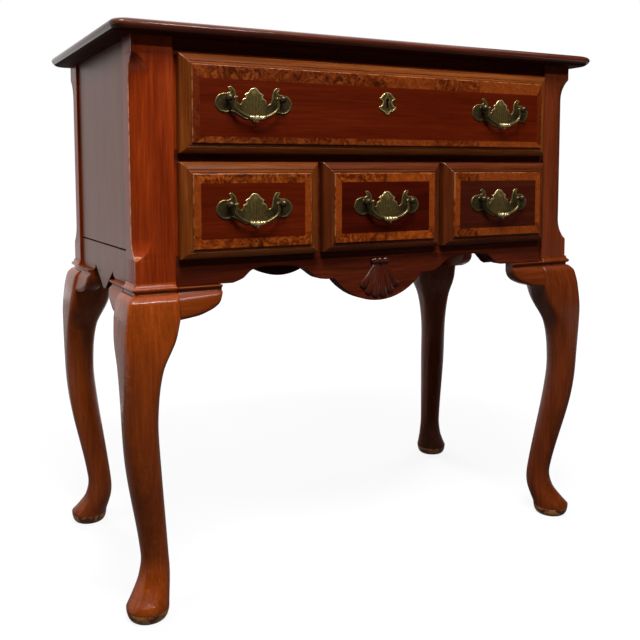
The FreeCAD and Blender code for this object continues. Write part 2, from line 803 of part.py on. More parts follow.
def pull_plate(x, z0, z1):
    """Back plate and the two posts that carry the bail."""
    z = pull_height(z0, z1)
    plate = Part.Face(bat_wing(V(x, FIELD_Y, z))).extrude(V(0, -PLATE_T, 0))
    shapes = []
    for side in (-1, 1):
        px = x + side * BORING / 2
        y = FIELD_Y - PULL_STAND
        ball = Part.makeSphere(KNOB_R, V(px, y, z))
        neck = Part.makeCylinder(POST_R, PULL_STAND, V(px, y, z), V(0, 1, 0))
        nut = Part.makeCylinder(NUT_R, NUT_T, V(px, FRONT_BACK, z), V(0, 1, 0))
        tip = Part.makeCylinder(POST_R, NUT_T, V(px, FRONT_BACK, z), V(0, 1, 0))
        bore = Part.makeCylinder(PIVOT_R + PIVOT_CLEAR, KNOB_R + PIVOT_IN, V(px + side * PIVOT_IN, y, z),
                                 V(-side, 0, 0))
        stem = joined([ball, neck, pull_stem(px, z), nut, tip]).cut(bore)
        plate = plate.cut(neck)
        shapes.append(stem)
    return [plate] + shapes


def bail(x, z0, z1):
    """Swinging handle: a drooping bar with pivots at its ends and a beaded middle."""
    z = pull_height(z0, z1)
    y = FIELD_Y - PULL_STAND
    inset = BAIL_HALF - BAIL_BEND_R
    drop = BAIL_DROP - BAIL_ARM
    low_r = (inset ** 2 + drop ** 2 - BAIL_BEND_R ** 2) / (2 * (drop - BAIL_BEND_R))
    out = V(-inset, 0, drop - low_r).normalize()
    half = (V(-1, 0, 0) + out).normalize()
    hub = V(x - inset, y, z - BAIL_ARM)
    start = V(x - BAIL_HALF, y, z)
    ends = [V(x - BAIL_HALF, y, z - BAIL_ARM), hub + half * BAIL_BEND_R, hub + out * BAIL_BEND_R]
    right = [V(2 * x - p.x, y, p.z) for p in ends]
    path = Part.Wire([
        line(start, ends[0]),
        arc(*ends),
        arc(ends[2], V(x, y, z - BAIL_DROP), right[2]),
        arc(right[2], right[1], right[0]),
        line(right[0], V(x + BAIL_HALF, y, z))])
    ring = Part.Wire(Part.makeCircle(BAIL_R, start, V(0, 0, 1)))
    shapes = [path.makePipeShell([ring], True, False)]
    for side in (-1, 1):
        shapes.append(Part.makeSphere(BAIL_R, V(x + side * BAIL_HALF, y, z)))
        reach = BORING / 2 - BAIL_HALF + PIVOT_IN - 2 * PIVOT_CLEAR
        shapes.append(Part.makeCylinder(PIVOT_R, reach, V(x + side * BAIL_HALF, y, z), V(side, 0, 0)))
        shapes.append(Part.makeSphere(SIDE_BEAD_R, V(x + side * SIDE_BEAD_X, y, z - BAIL_DROP)))
    shapes.append(Part.makeSphere(BEAD_R, V(x, y, z - BAIL_DROP)))
    shapes.append(Part.makeCone(SIDE_BEAD_R, FINIAL_R, FINIAL_L, V(x, y, z - BAIL_DROP), V(0, 0, -1)))
    return joined(shapes)


# Escutcheon and lock
def key_height():
    return (LONG_Z + TOP_RAIL_Z) / 2 + KEY_RISE


def keyhole(y0, y1):
    z = key_height()
    eye = Part.makeCylinder(KEY_R, y1 - y0, V(0, y0, z), V(0, 1, 0))
    return eye.fuse(box(-KEY_SLOT_W / 2, KEY_SLOT_W / 2, y0, y1, z - KEY_SLOT_L, z))


def escutcheon():
    """Plate round the keyhole: crest, shoulders, horns and a round foot."""
    shoulder = (0.88, 0.23)
    horn = (1.0, -0.42)
    foot = (0.33, -0.79)
    curves = [
        [(0, 1.0), (0.3, 0.93), (0.45, 0.77), (0.62, 0.52), shoulder],
        [shoulder, (0.85, 0.07), (0.65, -0.03), (0.53, -0.12), (0.58, -0.25), (0.72, -0.365), horn],
        [horn, (0.9, -0.58), (0.59, -0.73), foot],
        [foot, (0.24, -0.9), (0, -1.0)]]
    centre = V(0, FIELD_Y, key_height())
    wire = outline(centre, curves, KEY_PLATE_HALF, KEY_PLATE_UP, KEY_PLATE_DOWN)
    plate = Part.Face(wire).extrude(V(0, -PLATE_T, 0))
    return plate.cut(keyhole(FIELD_Y - PLATE_T, FIELD_Y))


def bolt_box(clear, low, high):
    y = FRONT_BACK + LOCK_T / 2
    half = BOLT_W / 2 + clear
    deep = BOLT_T / 2 + clear
    return box(-half, half, y - deep, y + deep, low, high)


def lock_top():
    return TOP_RAIL_Z - TOP_CLEAR - LOCK_TOP_GAP


def lock_case():
    low = key_height() - LOCK_BELOW_KEY
    body = box(-LOCK_W / 2, LOCK_W / 2, FRONT_BACK, FRONT_BACK + LOCK_T, low, lock_top())
    body = body.cut(bolt_box(BOLT_CLEAR, lock_top() - BOLT_L, lock_top()))
    return body.cut(keyhole(FRONT_BACK, FRONT_BACK + LOCK_T - LOCK_WALL))


def lock_bolt():
    return bolt_box(0.0, lock_top() - BOLT_L, lock_top())


def pair(name, shape):
    """A left shape and its mirror image, under side names."""
    return {name + "_left": shape, name + "_right": mirror_x(shape)}


def build():
    nodes = {}
    nodes["top_board"] = top_board().cut(joined(screws()))
    for place, shape in (("front", post(True)), ("rear", post(False))):
        nodes.update(pair("post_" + place, shape))
    leg_left = leg()
    for place, shape in (("front", leg_left), ("rear", mirror_y(leg_left))):
        nodes.update(pair("leg_" + place, shape))
    pegs = [dowel(DOWEL_L / 2, DOWEL_L / 2)]
    pegs.append(mirror_y(pegs[0]))
    nodes["leg_dowels"] = pegs + [mirror_x(peg) for peg in pegs]
    nodes.update(pair("side_panel", side_panel()))
    nodes.update(pair("side_apron", side_apron()))
    nodes["front_apron"] = cross_apron()
    nodes["back_apron"] = back_apron()
    nodes["back_panel"] = back_panel()
    nodes["top_rail"] = top_rail()
    nodes["divider_rail"] = cross_rail("divider", DIVIDER_Z, LONG_Z)
    nodes["front_stiles"] = stiles()
    nodes["drawer_partitions"] = partitions()
    block = knee_block()
    nodes["front_knee_blocks"] = [block, mirror_x(block)]
    nodes["back_knee_blocks"] = [mirror_y(block), mirror_y(mirror_x(block))]
    side = side_block()
    nodes["side_knee_blocks"] = [side, mirror_x(side), mirror_y(side), mirror_y(mirror_x(side))]
    nodes["shell_carving"] = shell()
    nodes["long_drawer_runners"] = long_runners()
    nodes["short_drawer_runners"] = short_runners()
    nodes["top_cleats"] = cleats()
    nodes["top_screws"] = screws()

    inner = MIDDLE_W / 2
    outer = inner + PARTITION_T
    side_x = (outer + OPEN_X) / 2
    openings = {
        "long_drawer": (-OPEN_X, OPEN_X, LONG_Z, TOP_RAIL_Z, (-side_x, side_x)),
        "left_drawer": (-OPEN_X, -outer, SHORT_Z, DIVIDER_Z, (-side_x,)),
        "middle_drawer": (-inner, inner, SHORT_Z, DIVIDER_Z, (0.0,)),
        "right_drawer": (outer, OPEN_X, SHORT_Z, DIVIDER_Z, (side_x,))}
    for name, (x0, x1, z0, z1, pulls) in openings.items():
        pieces = drawer(x0, x1, z0, z1, pulls)
        if name == "long_drawer":
            pieces["front"] = pieces["front"].cut(keyhole(FIELD_Y, FRONT_BACK))
        for piece, shape in pieces.items():
            nodes[name + "_" + piece] = shape
        nodes[name + "_pull_plates"] = sum([pull_plate(x, z0, z1) for x in pulls], [])
        for i, x in enumerate(pulls):
            tail = ("_left", "_right")[i] if len(pulls) > 1 else ""
            nodes[name + "_bail" + tail] = bail(x, z0, z1)
    nodes["escutcheon"] = escutcheon()
    nodes["lock_case"] = lock_case()
    nodes["lock_bolt"] = lock_bolt()
    return nodes


def main():
    """Centre the lowboy front to back and write each node to its own file."""
    nodes = {}
    for name, shape in build().items():
        nodes[name] = Part.makeCompound(shape) if isinstance(shape, list) else shape
    boxes = [shape.optimalBoundingBox(False) for shape in nodes.values()]
    shift = -(min(b.YMin for b in boxes) + max(b.YMax for b in boxes)) / 2
    os.makedirs("parts", exist_ok=True)
    for name, shape in nodes.items():
        shape.translate(V(0, shift, 0))
        shape.exportStep("parts/" + name + ".step")
    print("shift", shift)


main()
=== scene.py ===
"""Looks of the lowboy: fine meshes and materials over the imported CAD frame.

Sizes are millimetres in the part's own case frame: case centre at X = Y = 0, floor at Z = 0, front
towards -Y. place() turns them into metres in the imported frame.
"""
import math

import bmesh
import bpy
import numpy as np
from mathutils import Matrix, Vector
from mathutils.geometry import delaunay_2d_cdt


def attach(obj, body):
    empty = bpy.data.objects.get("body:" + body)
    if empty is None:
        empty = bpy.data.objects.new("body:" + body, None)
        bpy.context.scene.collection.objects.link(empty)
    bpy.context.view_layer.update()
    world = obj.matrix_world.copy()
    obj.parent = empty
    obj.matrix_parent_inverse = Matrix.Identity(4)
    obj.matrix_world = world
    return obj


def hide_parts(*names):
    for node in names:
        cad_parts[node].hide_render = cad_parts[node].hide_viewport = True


MM = 0.001
SHIFT_Y = 4.748

# Camera, solved from the photograph
EYE = (-631.96, -1145.31, 571.82)
YAW = 27.12
PITCH = -4.49
ROLL = -0.23
LENS = 45.187
SENSOR_W = 36.0
NEAR_CLIP = 0.02
VIEW_SHIFT = (0.0367, -0.1310)

# Case
HALF_W = 360.0
HALF_D = 177.5
POST_X = 307.5
POST_Y = 134.5
FRAME_Y = 173.5
RAIL_T = 20.0
PANEL_OUT = 356.0
PANEL_T = 18.0
LEG_H = 435.0
APRON_TOP = 468.0
SIDE_APRON_TOP = 472.0
CASE_TOP = 740.8

# Top board
TOP_X = 388.5
TOP_FRONT = -200.5
TOP_BACK = 189.5
TOP_T = 16.8
TOP_CORNER_R = 14.0
NOSE_H = 8.0
THUMB_W = 20.0
THUMB_BEND = 1.3
NOSE_PROFILE = [(8.0, 0.0), (6.4, 0.4), (4.6, 1.4), (3.0, 2.8), (1.6, 4.5), (0.6, 6.4), (0.0, NOSE_H)]
# rows at the foot of the top's nose that take the dark finish of painted shade
SHADED_ROWS = 3

# Posts
CHAMFER_X = 23.0
CHAMFER_Y = 18.0
CHAMFER_LOW = 462.0
CHAMFER_HIGH = 720.8
CHAMFER_RUN = 32.0
STOP_STEPS = 14
# rows at the foot of the lower chamfer stop painted pale: painted highlight
GLINT_ROWS = 4
ARRIS = 1.0

# Legs: (height, reach) curves
LEG_OUTER = [(16.5, 16.8), (29, 7.5), (48, -3.5), (76, -7.4), (215.5, 16.6), (343, 19.6), (387.5, 16.4),
             (412, 11.5), (420, 8)]
LEG_INNER = [(16.5, 38.4), (48, 44.3), (76, 43.3), (215.5, 27.8), (265, 25), (325, 30.8), (363, 47.5),
             (387.5, 54)]
LEG_ROUND = [(16.5, 0.49), (76, 0.49), (265, 0.4), (343, 0.15), (387.5, 0.1)]
CAP_PROFILE = [(0.3, 2.2), (1.2, 1.4), (3.4, 1.3), (4.4, 2.2), (4.9, 3.6), (5.8, 4.7), (7.3, 5.1), (8.8, 4.8),
               (9.8, 4.0), (10.2, 3.2), (11.6, 2.2), (13.4, 1.6), (15.0, 1.3)]
BEAD_OUT = 5.0
KNEE_TOP = 420.0
KNEE_OUT = 19.6
KNEE_ROLL = 3.2
KNEE_ROLL_FROM = 0.68
KNEE_CORNER_R = 7.0
KNEE_CORNER_TAPER = 2.5
SOLE_ROWS = 3
SCUFF_ROWS = 3
BLOCK_LOW = 387.5
BLOCK_TOP = 428.0
HEAD_IN = 54.0
FOOT_Z = 16.5
FOOT_R = 27.6
FOOT_SET = 10.8
SOLE_R = 20.5
SHARP_KNEE = 0.05
ROUND_SHANK = 0.49
BLOCK_L = 60.0
BLOCK_T = 20.0
BLOCK_SET = 3.5
BLOCK_END_H = 13.5
BLOCK_END_OUT = 9.0
BLOCK_UNDER = [(0, 0), (0.42, 0.12), (0.63, 0.26), (0.83, 0.46), (0.95, 0.7), (1.0, 1.0)]

# Aprons: curves as (place, rise) from the foot of the posts
SCALLOP = [(-227.5, 0.0), (-213, 5.5), (-197.75, 16.7), (-166, 19.0), (-127, 14.8), (-102, -1.0), (-88, -4.0)]
LEDGE = 4.0
PENDANT_HALF = 75.0
PENDANT_DROP = 36.0
PENDANT_STEPS = 36
SIDE_NOTCH = [(-62.0, 0.0), (-53.6, 3.6), (-50.0, 9.0)]
SIDE_TIP = [(-14.0, -14.7), (-9.0, -18.4), (0.0, -21.0)]

# Shell
SHELL_Z = 453.0
SHELL_LOBES = 6
SHELL_SPREAD = 68.0
SHELL_L = 55.5
SHELL_OUTER_L = 48.5
LOBE_R = 6.2
SCROLL_HALF = 15.5
SCROLL_R = 5.0
SCROLL_DROP = 7.0

# Drawers
LIP = 5.2
SHORT_LIP_TOP = 6.4
LIP_BACK = -173.9
LIP_FRONT = -183.4
FIELD_Y = -192.1
FRONT_BACK = -167.9
MOULD_W = (14.4, 12.8, 13.6)
MOULD_SHARES = (0.06, 0.12, 0.2, 0.3, 0.42, 0.55, 0.64, 0.69, 0.72, 0.75, 0.8, 0.86, 0.92, 0.97, 1.0)
QUIRK_AT = 0.72
QUIRK_DEEP = 0.7
QUIRK_WIDE = 0.035
FIELD_STEP = 2.6
FIELD_EDGE = 0.9
MITRE_CLIP = 0.6
LONG_BAND_W = (9.0, 8.0, 16.0)
SHORT_BAND_W = (9.3, 11.5, 11.5)
OPENINGS = {
    "long_drawer": (-297.5, 297.5, 602.0, 716.0),
    "left_drawer": (-297.5, -111.0, 468.0, 580.0),
    "middle_drawer": (-93.0, 93.0, 468.0, 580.0),
    "right_drawer": (111.0, 297.5, 468.0, 580.0)}
PULLS = {
    "long_drawer": (-204.25, 204.25),
    "left_drawer": (-204.25,),
    "middle_drawer": (0.0,),
    "right_drawer": (204.25,)}
PULL_RISE = 8.0
BOX_GAP = (1.15, 0.45, 2.15)

# Pulls and escutcheon
BORING = 74.4
PULL_STAND = 9.5
KNOB_R = 5.2
COLLAR = [(0.5, 3.7), (1.1, 3.7), (1.5, 3.2), (2.2, 2.6), (3.4, 2.4), (4.4, 2.5)]
NUT = [(0.1, 5.0), (0.4, 5.5), (2.6, 5.5), (3.0, 5.0)]
STEM = [(2.0, 2.4), (4.2, 2.4), (4.8, 1.8)]
BAIL_HALF = 28.5
BAIL_DROP = 25.0
BAIL_ARM = 8.0
BAIL_BEND_R = 13.0
BAIL_SWELL = 2.0
BAIL_R = 2.05
BAIL_SIDES = 18
BAIL_BEADS = ((0.0, 3.9), (5.4, 2.9), (8.6, 2.6))
BRIGHT_HALF = 11.0
PIN = [(-2.6, 0.3), (-2.2, 1.5), (-1.2, 2.4), (0.0, 2.75), (1.2, 2.4), (2.0, 1.6)]
PIN_R = 1.55
PIN_PAST = 2.2
FINIAL = [(3.0, 1.6), (3.9, 1.9), (4.8, 1.5), (5.6, 0.9), (6.2, 0.35)]
PLATE_RINGS = (0.5, 1.0, 1.6, 2.3)
KEY_Z = 672.8
KEYHOLE_R = 2.6
KEYHOLE_SLOT = (1.9, 10.6)

# Which corner of the case a front left shape is turned to: signs of X and Y
CORNERS = {"front_left": (1, 1), "front_right": (-1, 1), "rear_left": (1, -1), "rear_right": (-1, -1)}

# Stage in metres: a flag has its brightness in reflections and two opposite corners, a lamp its
# place, the height that it is turned to, its size, its power and whether polished wood mirrors it
AMBIENT = 0.07
FLOOR = ((-7, -1.9, 0), (7, 9, 0))
FLOOR_NEAR_FAR = (0.7, 1.9)
FLOOR_GLOW = (0.87, 0.98)
FLAGS = {
    "flag_front": (0.0, (-3.2, -2.6, -0.2), (4.5, -2.6, 3.5)),
    "flag_left": (0.0, (-3.2, -2.6, -0.2), (-3.2, -0.3, 3.5)),
    "flag_right": (0.0, (2.6, -2.6, 0.05), (2.6, 2.5, 3.0)),
    "flag_low_back": (0.45, (-4.0, 0.75, 0.01), (-0.4, 0.75, 0.3)),
    "flag_floor": (0.14, (-1.3, -0.1, 0.004), (1.2, 0.7, 0.004)),
    "flag_low_front": (0.05, (-1.3, -1.9, 0.004), (1.6, -0.1, 0.004)),
    "card_back": (0.8, (-4.5, 4.5, 0.02), (-0.2, 4.5, 3.5))}
LAMPS = {
    "key": ((-0.5, -1.2, 2.5), 0.45, (0.7, 0.7), 61, True),
    "spark": ((0.2, -1.45, 1.75), 0.45, (0.5, 0.05), 12, True),
    "side": ((-2.0, -0.15, 2.3), 0.5, (1.2, 1.2), 28, False),
    "back": ((-0.4, 2.2, 1.8), 0.5, (1.2, 1.2), 42, False),
    "right": ((2.3, 0.9, 1.8), 0.5, (1.2, 1.2), 38, False)}

# Finishes: display colours of dark, middle and light grain, and the woods made of them
UNIT = (0.0, 1.0)
# heights in metres over which the knee is painted lighter: painted light on the knee that faces up
LIT_KNEE = (0.28, 0.38)
BURL_LENGTH = 0.082
TONES = {
    "red": ((101, 31, 5), (128, 43, 9), (150, 58, 16)),
    "russet": ((86, 33, 12), (105, 43, 18), (123, 55, 25)),
    "warm": ((104, 42, 7), (121, 50, 9), (138, 61, 14)),
    "shaded": ((84, 33, 8), (100, 40, 11), (116, 50, 17)),
    "brown": ((84, 40, 20), (102, 50, 27), (120, 62, 36)),
    "dim": ((62, 21, 9), (82, 29, 13), (102, 40, 20)),
    "dusk": ((52, 17, 6), (68, 23, 9), (86, 32, 14)),
    "umber": ((58, 22, 11), (76, 31, 17), (96, 44, 26)),
    # painted shade: the dark tone of sawn edges, backs and undersides
    "painted_shade_dark": ((40, 14, 7), (54, 19, 10), (68, 27, 15)),
    "deep": ((69, 16, 2), (82, 21, 3), (95, 28, 6)),
    "maroon": ((47, 7, 1), (58, 10, 2), (70, 15, 4)),
    "bark": ((49, 15, 7), (60, 19, 9), (72, 26, 13)),
    "tan": ((84, 37, 8), (106, 50, 14), (128, 68, 26)),
    "dusky": ((66, 26, 8), (84, 35, 12), (102, 48, 20)),
    "figured": ((72, 23, 3), (124, 50, 10), (163, 79, 24)),
    "toned": ((62, 19, 3), (104, 41, 9), (139, 66, 21)),
    "quiet": ((58, 16, 3), (80, 24, 4), (106, 40, 10)),
    "amber": ((70, 22, 3), (108, 42, 8), (142, 66, 18))}
WOODS = {
    "post": ("Z", "red", {"gloss": 0.28}),
    # painted shade: a darker copy of the post wood for the front right post, where the light falls off to the
    # right
    "post_right": ("Z", "russet", {}),
    "side": ("Z", "brown", {"gloss": 0.34, "sheen": 0.22}),
    "rail": ("X", "dim", {"sheen": 0.08}),
    "top": ("X", "umber", {"gloss": 0.36}),
    "nose": ("X", "umber", {"gloss": 0.15, "sheen": 0.3}),
    # the leg's knee is painted lighter: painted light
    "leg": ("Z", "warm", {"gloss": 0.18, "sheen": 0.28, "knee_light": 1.35, "wave": 0.5}),
    # painted shade: a darker copy of the leg wood for the right legs, where the light falls off to the right
    "leg_right": ("Z", "shaded", {"gloss": 0.24, "sheen": 0.22, "wave": 0.3}),
    "block": ("X", "warm", {"gloss": 0.24, "sheen": 0.25}),
    # painted shade: a darker copy of the block wood for the right knee blocks
    "block_right": ("X", "shaded", {"gloss": 0.24, "sheen": 0.22}),
    "side_block": ("Y", "warm", {"sheen": 0.25}),
    "field": ("X", "deep", {"sheen": 0.1}),
    # the middle and right drawers have darker fields; on the right drawer this is painted shade, where the
    # light falls off to the right
    "field_middle": ("X", "maroon", {"sheen": 0.1}),
    "field_right": ("X", "bark", {"sheen": 0.1}),
    "lip_x": ("X", "tan", {"sheen": 0.1}),
    "lip_z": ("Z", "tan", {"sheen": 0.1}),
    # darker mouldings of the middle and right drawers; on the right drawer this is painted shade
    "dark_lip_x": ("X", "dusky", {"sheen": 0.1}),
    "dark_lip_z": ("Z", "dusky", {"sheen": 0.1}),
    # painted shade in a dark tone, with a rough dull finish: sawn edges, backs, undersides, the foot of the
    # top's nose and the leg soles
    "edge": ("X", "painted_shade_dark", {"gloss": 0.7, "sheen": 0.02}),
    "shell": ("Z", "dusk", {"gloss": 0.24, "sheen": 0.4})}
# burl_dim is a darker copy of the figured burl, on the long and right drawers; on the right drawer it is
# painted shade
BURLS = {"burl_x": ("X", "figured"), "burl_dim": ("X", "toned"), "burl_z": ("Z", "quiet"),
         "burl_short": ("Z", "amber")}
# pale patches on arrises: scuffs on the leg pads; on the posts and drawer fronts, painted highlight where the
# edges face the light, with some wearing
PATCHY_EDGES = {"pale_patch": ((140, 70, 32), (188, 128, 92)), "scuff": ((86, 42, 14), (170, 112, 66)),
        "wear_and_highlight": ((94, 38, 9), (158, 98, 56))}
BARE = {
    "inside_x": ("X", (150, 112, 72), (196, 160, 112)),
    "inside_y": ("Y", (150, 112, 72), (196, 160, 112)),
    "inside_z": ("Z", (150, 112, 72), (196, 160, 112)),
    "back": ("X", (104, 70, 42), (150, 112, 72))}

# Finishes of each drawer front: mouldings along X and Z, bands along X and Z, field
DRAWER_LOOKS = {
    "long_drawer": ("lip_x", "lip_z", "burl_dim", "burl_z", "field"),
    "left_drawer": ("lip_x", "lip_z", "burl_x", "burl_short", "field"),
    # the middle and right drawers take darker copies; on the right drawer they are painted shade
    "middle_drawer": ("dark_lip_x", "dark_lip_z", "burl_x", "burl_short", "field_middle"),
    "right_drawer": ("dark_lip_x", "dark_lip_z", "burl_dim", "burl_short", "field_right")}

# CAD nodes that stay, by finish
NODE_LOOKS = {
    "side": ["side_panel_left", "side_panel_right"],
    "rail": ["top_rail", "divider_rail", "drawer_partitions"],
    "post": ["front_stiles"],
    "back": ["back_panel"],
    "inside_x": [name + end for name in OPENINGS for end in ("_back", "_bottom")],
    "inside_y": ["long_drawer_runners", "short_drawer_runners", "top_cleats"]
                + [name + "_sides" for name in OPENINGS],
    "inside_z": ["leg_dowels"],
    "steel": ["top_screws", "lock_case", "lock_bolt"]}


def place(points):
    return [(x * MM, (y + SHIFT_Y) * MM, z * MM) for x, y, z in points]


def srgb(red, green, blue):
    """Linear colour from 0 to 255 display values."""
    out = []
    for value in (red, green, blue):
        c = value / 255
        out.append(c / 12.92 if c <= 0.04045 else ((c + 0.055) / 1.055) ** 2.4)
    return (*out, 1.0)


def blend(t, span, a, b, slope_a, slope_b):
    """Point at share t of the smooth curve from a to b."""
    first = 1 - 3 * t * t + 2 * t ** 3
    bend = (t - 2 * t * t + t ** 3) * slope_a + (t ** 3 - t * t) * slope_b
    return first * a + (1 - first) * b + span * bend


def along(points, z):
    """Smooth curve through (height, value) points listed upwards."""
    i = 0
    while i < len(points) - 2 and z > points[i + 1][0]:
        i += 1

    def slope(j):
        lo = points[max(j - 1, 0)]
        hi = points[min(j + 1, len(points) - 1)]
        return (hi[1] - lo[1]) / (hi[0] - lo[0])

    span = points[i + 1][0] - points[i][0]
    t = (z - points[i][0]) / span
    return blend(t, span, points[i][1], points[i + 1][1], slope(i), slope(i + 1))


def through(points, steps):
    """Points on a smooth curve through 2-D points, with steps to each span."""
    pts = [np.array(p, float) for p in points]
    knots = [0.0]
    for a, b in zip(pts, pts[1:]):
        knots.append(knots[-1] + math.sqrt(np.linalg.norm(b - a)))
    slopes = []
    for i in range(len(pts)):
        lo = max(i - 1, 0)
        hi = min(i + 1, len(pts) - 1)
        slopes.append((pts[hi] - pts[lo]) / (knots[hi] - knots[lo]))
    out = []
    for i in range(len(pts) - 1):
        span = knots[i + 1] - knots[i]
        for k in range(steps):
            out.append(tuple(blend(k / steps, span, pts[i], pts[i + 1], slopes[i], slopes[i + 1])))
    out.append(tuple(pts[-1]))
    return out


class Shape:
    """Vertices in millimetres, faces with a finish number each, sharp edges, and how much wearing each vertex
    shows, with painted light on the pull plates.
    """

    def __init__(self):
        self.verts = []
        self.faces = []
        self.paint = []
        self.creases = []
        self.relief = []

    def ring(self, points, relief=0.7):
        start = len(self.verts)
        self.verts += [tuple(p) for p in points]
        self.relief += [relief] * len(points)
        return list(range(start, len(self.verts)))

    def face(self, corners, finish=0):
        self.faces.append(tuple(corners))
        self.paint.append(finish)

    def bridge(self, a, b, finish=0):
        for i in range(len(a)):
            j = (i + 1) % len(a)
            self.face((a[i], a[j], b[j], b[i]), finish)

    def loft(self, rings, finish=0, relief=0.7):
        """Closed body through rings with the same number of points."""
        made = [self.ring(points, relief) for points in rings]
        self.face(made[0], finish)
        for a, b in zip(made, made[1:]):
            self.bridge(a, b, finish)
        self.face(made[-1], finish)
        return self

    def add(self, other):
        start = len(self.verts)
        self.verts += other.verts
        self.relief += other.relief
        self.faces += [tuple(i + start for i in face) for face in other.faces]
        self.paint += other.paint
        self.creases += [(a + start, b + start) for a, b in other.creases]
        return self

    def moved(self, change):
        """A copy with every vertex passed through a function."""
        out = Shape().add(self)
        out.verts = [change(*v) for v in self.verts]
        return out

    def flipped(self, x_sign, y_sign):
        return self.moved(lambda x, y, z: (x_sign * x, y_sign * y, z))


def corner_swap(x, y, z):
    """Turn a front left shape over the corner's diagonal, onto the left side."""
    return (y + HALF_D - HALF_W, x + HALF_W - HALF_D, z)


def add_object(name, data):
    made = bpy.data.objects.new(name, data)
    bpy.context.scene.collection.objects.link(made)
    return made


def add_piece(node, shape, body, finishes, sharp):
    """Make a Blender object of a shape that rides on a body and stands for a CAD node."""
    mesh = bpy.data.meshes.new(node + "_look")
    mesh.from_pydata(place(shape.verts), [], shape.faces)
    for finish in finishes:
        mesh.materials.append(finish)
    mesh.polygons.foreach_set("material_index", shape.paint)
    relief = mesh.attributes.new("relief", "FLOAT", "POINT")
    relief.data.foreach_set("value", shape.relief)
    cage = bmesh.new()
    cage.from_mesh(mesh)
    bmesh.ops.recalc_face_normals(cage, faces=cage.faces)
    cage.to_mesh(mesh)
    cage.free()
    mesh.shade_smooth()
    mesh.set_sharp_from_angle(angle=math.radians(sharp))
    edges = {edge.key: edge for edge in mesh.edges}
    for a, b in shape.creases:
        edges[(min(a, b), max(a, b))].use_edge_sharp = True
    piece = add_object(node + "_look", mesh)
    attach(piece, body)
    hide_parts(node)


# Node trees and materials
def grey(level):
    return (level, level, level, 1.0)


class Nodes:
    """Node tree in the making; its methods add nodes and give their outputs."""

    def __init__(self, tree):
        self.tree = tree

    def feed(self, made, inputs):
        for key, value in inputs.items():
            if isinstance(value, bpy.types.NodeSocket):
                self.tree.links.new(value, made.inputs[key])
            else:
                made.inputs[key].default_value = value

    def add(self, kind, inputs, **settings):
        made = self.tree.nodes.new("ShaderNode" + kind)
        for key, value in settings.items():
            setattr(made, key, value)
        self.feed(made, inputs)
        return made

    def noise(self, vector, scale, detail, distortion=0.0, roughness=0.55):
        made = self.add("TexNoise", {"Vector": vector, "Scale": scale, "Detail": detail,
                                     "Distortion": distortion, "Roughness": roughness})
        return made.outputs["Fac"]

    def ramp(self, fac, *stops):
        """Colour ramp through (position, colour) stops."""
        made = self.add("ValToRGB", {"Fac": fac})
        line = made.color_ramp
        line.elements[0].position, line.elements[0].color = stops[0]
        line.elements[1].position, line.elements[1].color = stops[-1]
        for position, colour in stops[1:-1]:
            line.elements.new(position).color = colour
        return made.outputs["Color"]

    def calc(self, operation, a, b):
        return self.add("Math", {0: a, 1: b}, operation=operation).outputs["Value"]

    def total(self, *terms):
        """Sum of (output, weight) terms."""
        whole = 0.0
        for value, weight in terms:
            whole = self.calc("ADD", self.calc("MULTIPLY", value, weight), whole)
        return whole

    def remap(self, value, before, after, **settings):
        """Value carried from one range to another, and held at the ends."""
        made = self.add("MapRange", {"Value": value, "From Min": before[0], "From Max": before[1],
                                     "To Min": after[0], "To Max": after[1]}, **settings)
        return made.outputs["Result"]

    def mix(self, fac, a, b, blend="MIX"):
        return self.add("Mix", {0: fac, 6: a, 7: b}, data_type="RGBA", blend_type=blend).outputs[2]

    def dim(self, colour, level):
        return self.mix(1.0, colour, level, "MULTIPLY")

    def bump(self, height, strength, distance, under=None):
        """Normal of a bumped surface; under is the normal that it starts from."""
        inputs = {"Height": height, "Strength": strength, "Distance": distance}
        if under is not None:
            inputs["Normal"] = under
        return self.add("Bump", inputs).outputs["Normal"]

    def seen_ray(self):
        """1 for camera, glossy and transmission rays, 0 for light on its way to the object."""
        path = self.add("LightPath", {}).outputs
        seen = self.calc("MAXIMUM", path["Is Camera Ray"], path["Is Glossy Ray"])
        return self.calc("MAXIMUM", seen, path["Is Transmission Ray"])


class Paint(Nodes):
    """Material in the making, on a Principled shader."""

    def __init__(self, name):
        self.made = bpy.data.materials.new(name)
        self.made.use_nodes = True
        super().__init__(self.made.node_tree)
        self.spot = self.add("TexCoord", {}).outputs["Object"]

    def axis(self, name):
        return self.add("SeparateXYZ", {"Vector": self.spot}).outputs[name]

    def lengthwise(self, grain, squeeze):
        """Coordinates drawn out along the grain."""
        scale = [squeeze if axis == grain else 1.0 for axis in "XYZ"]
        return self.add("Mapping", {"Vector": self.spot, "Scale": scale}).outputs["Vector"]

    def finish(self, colour, roughness, more):
        skin = self.tree.nodes["Principled BSDF"]
        self.feed(skin, {"Base Color": colour, "Roughness": roughness, **more})
        return self.made


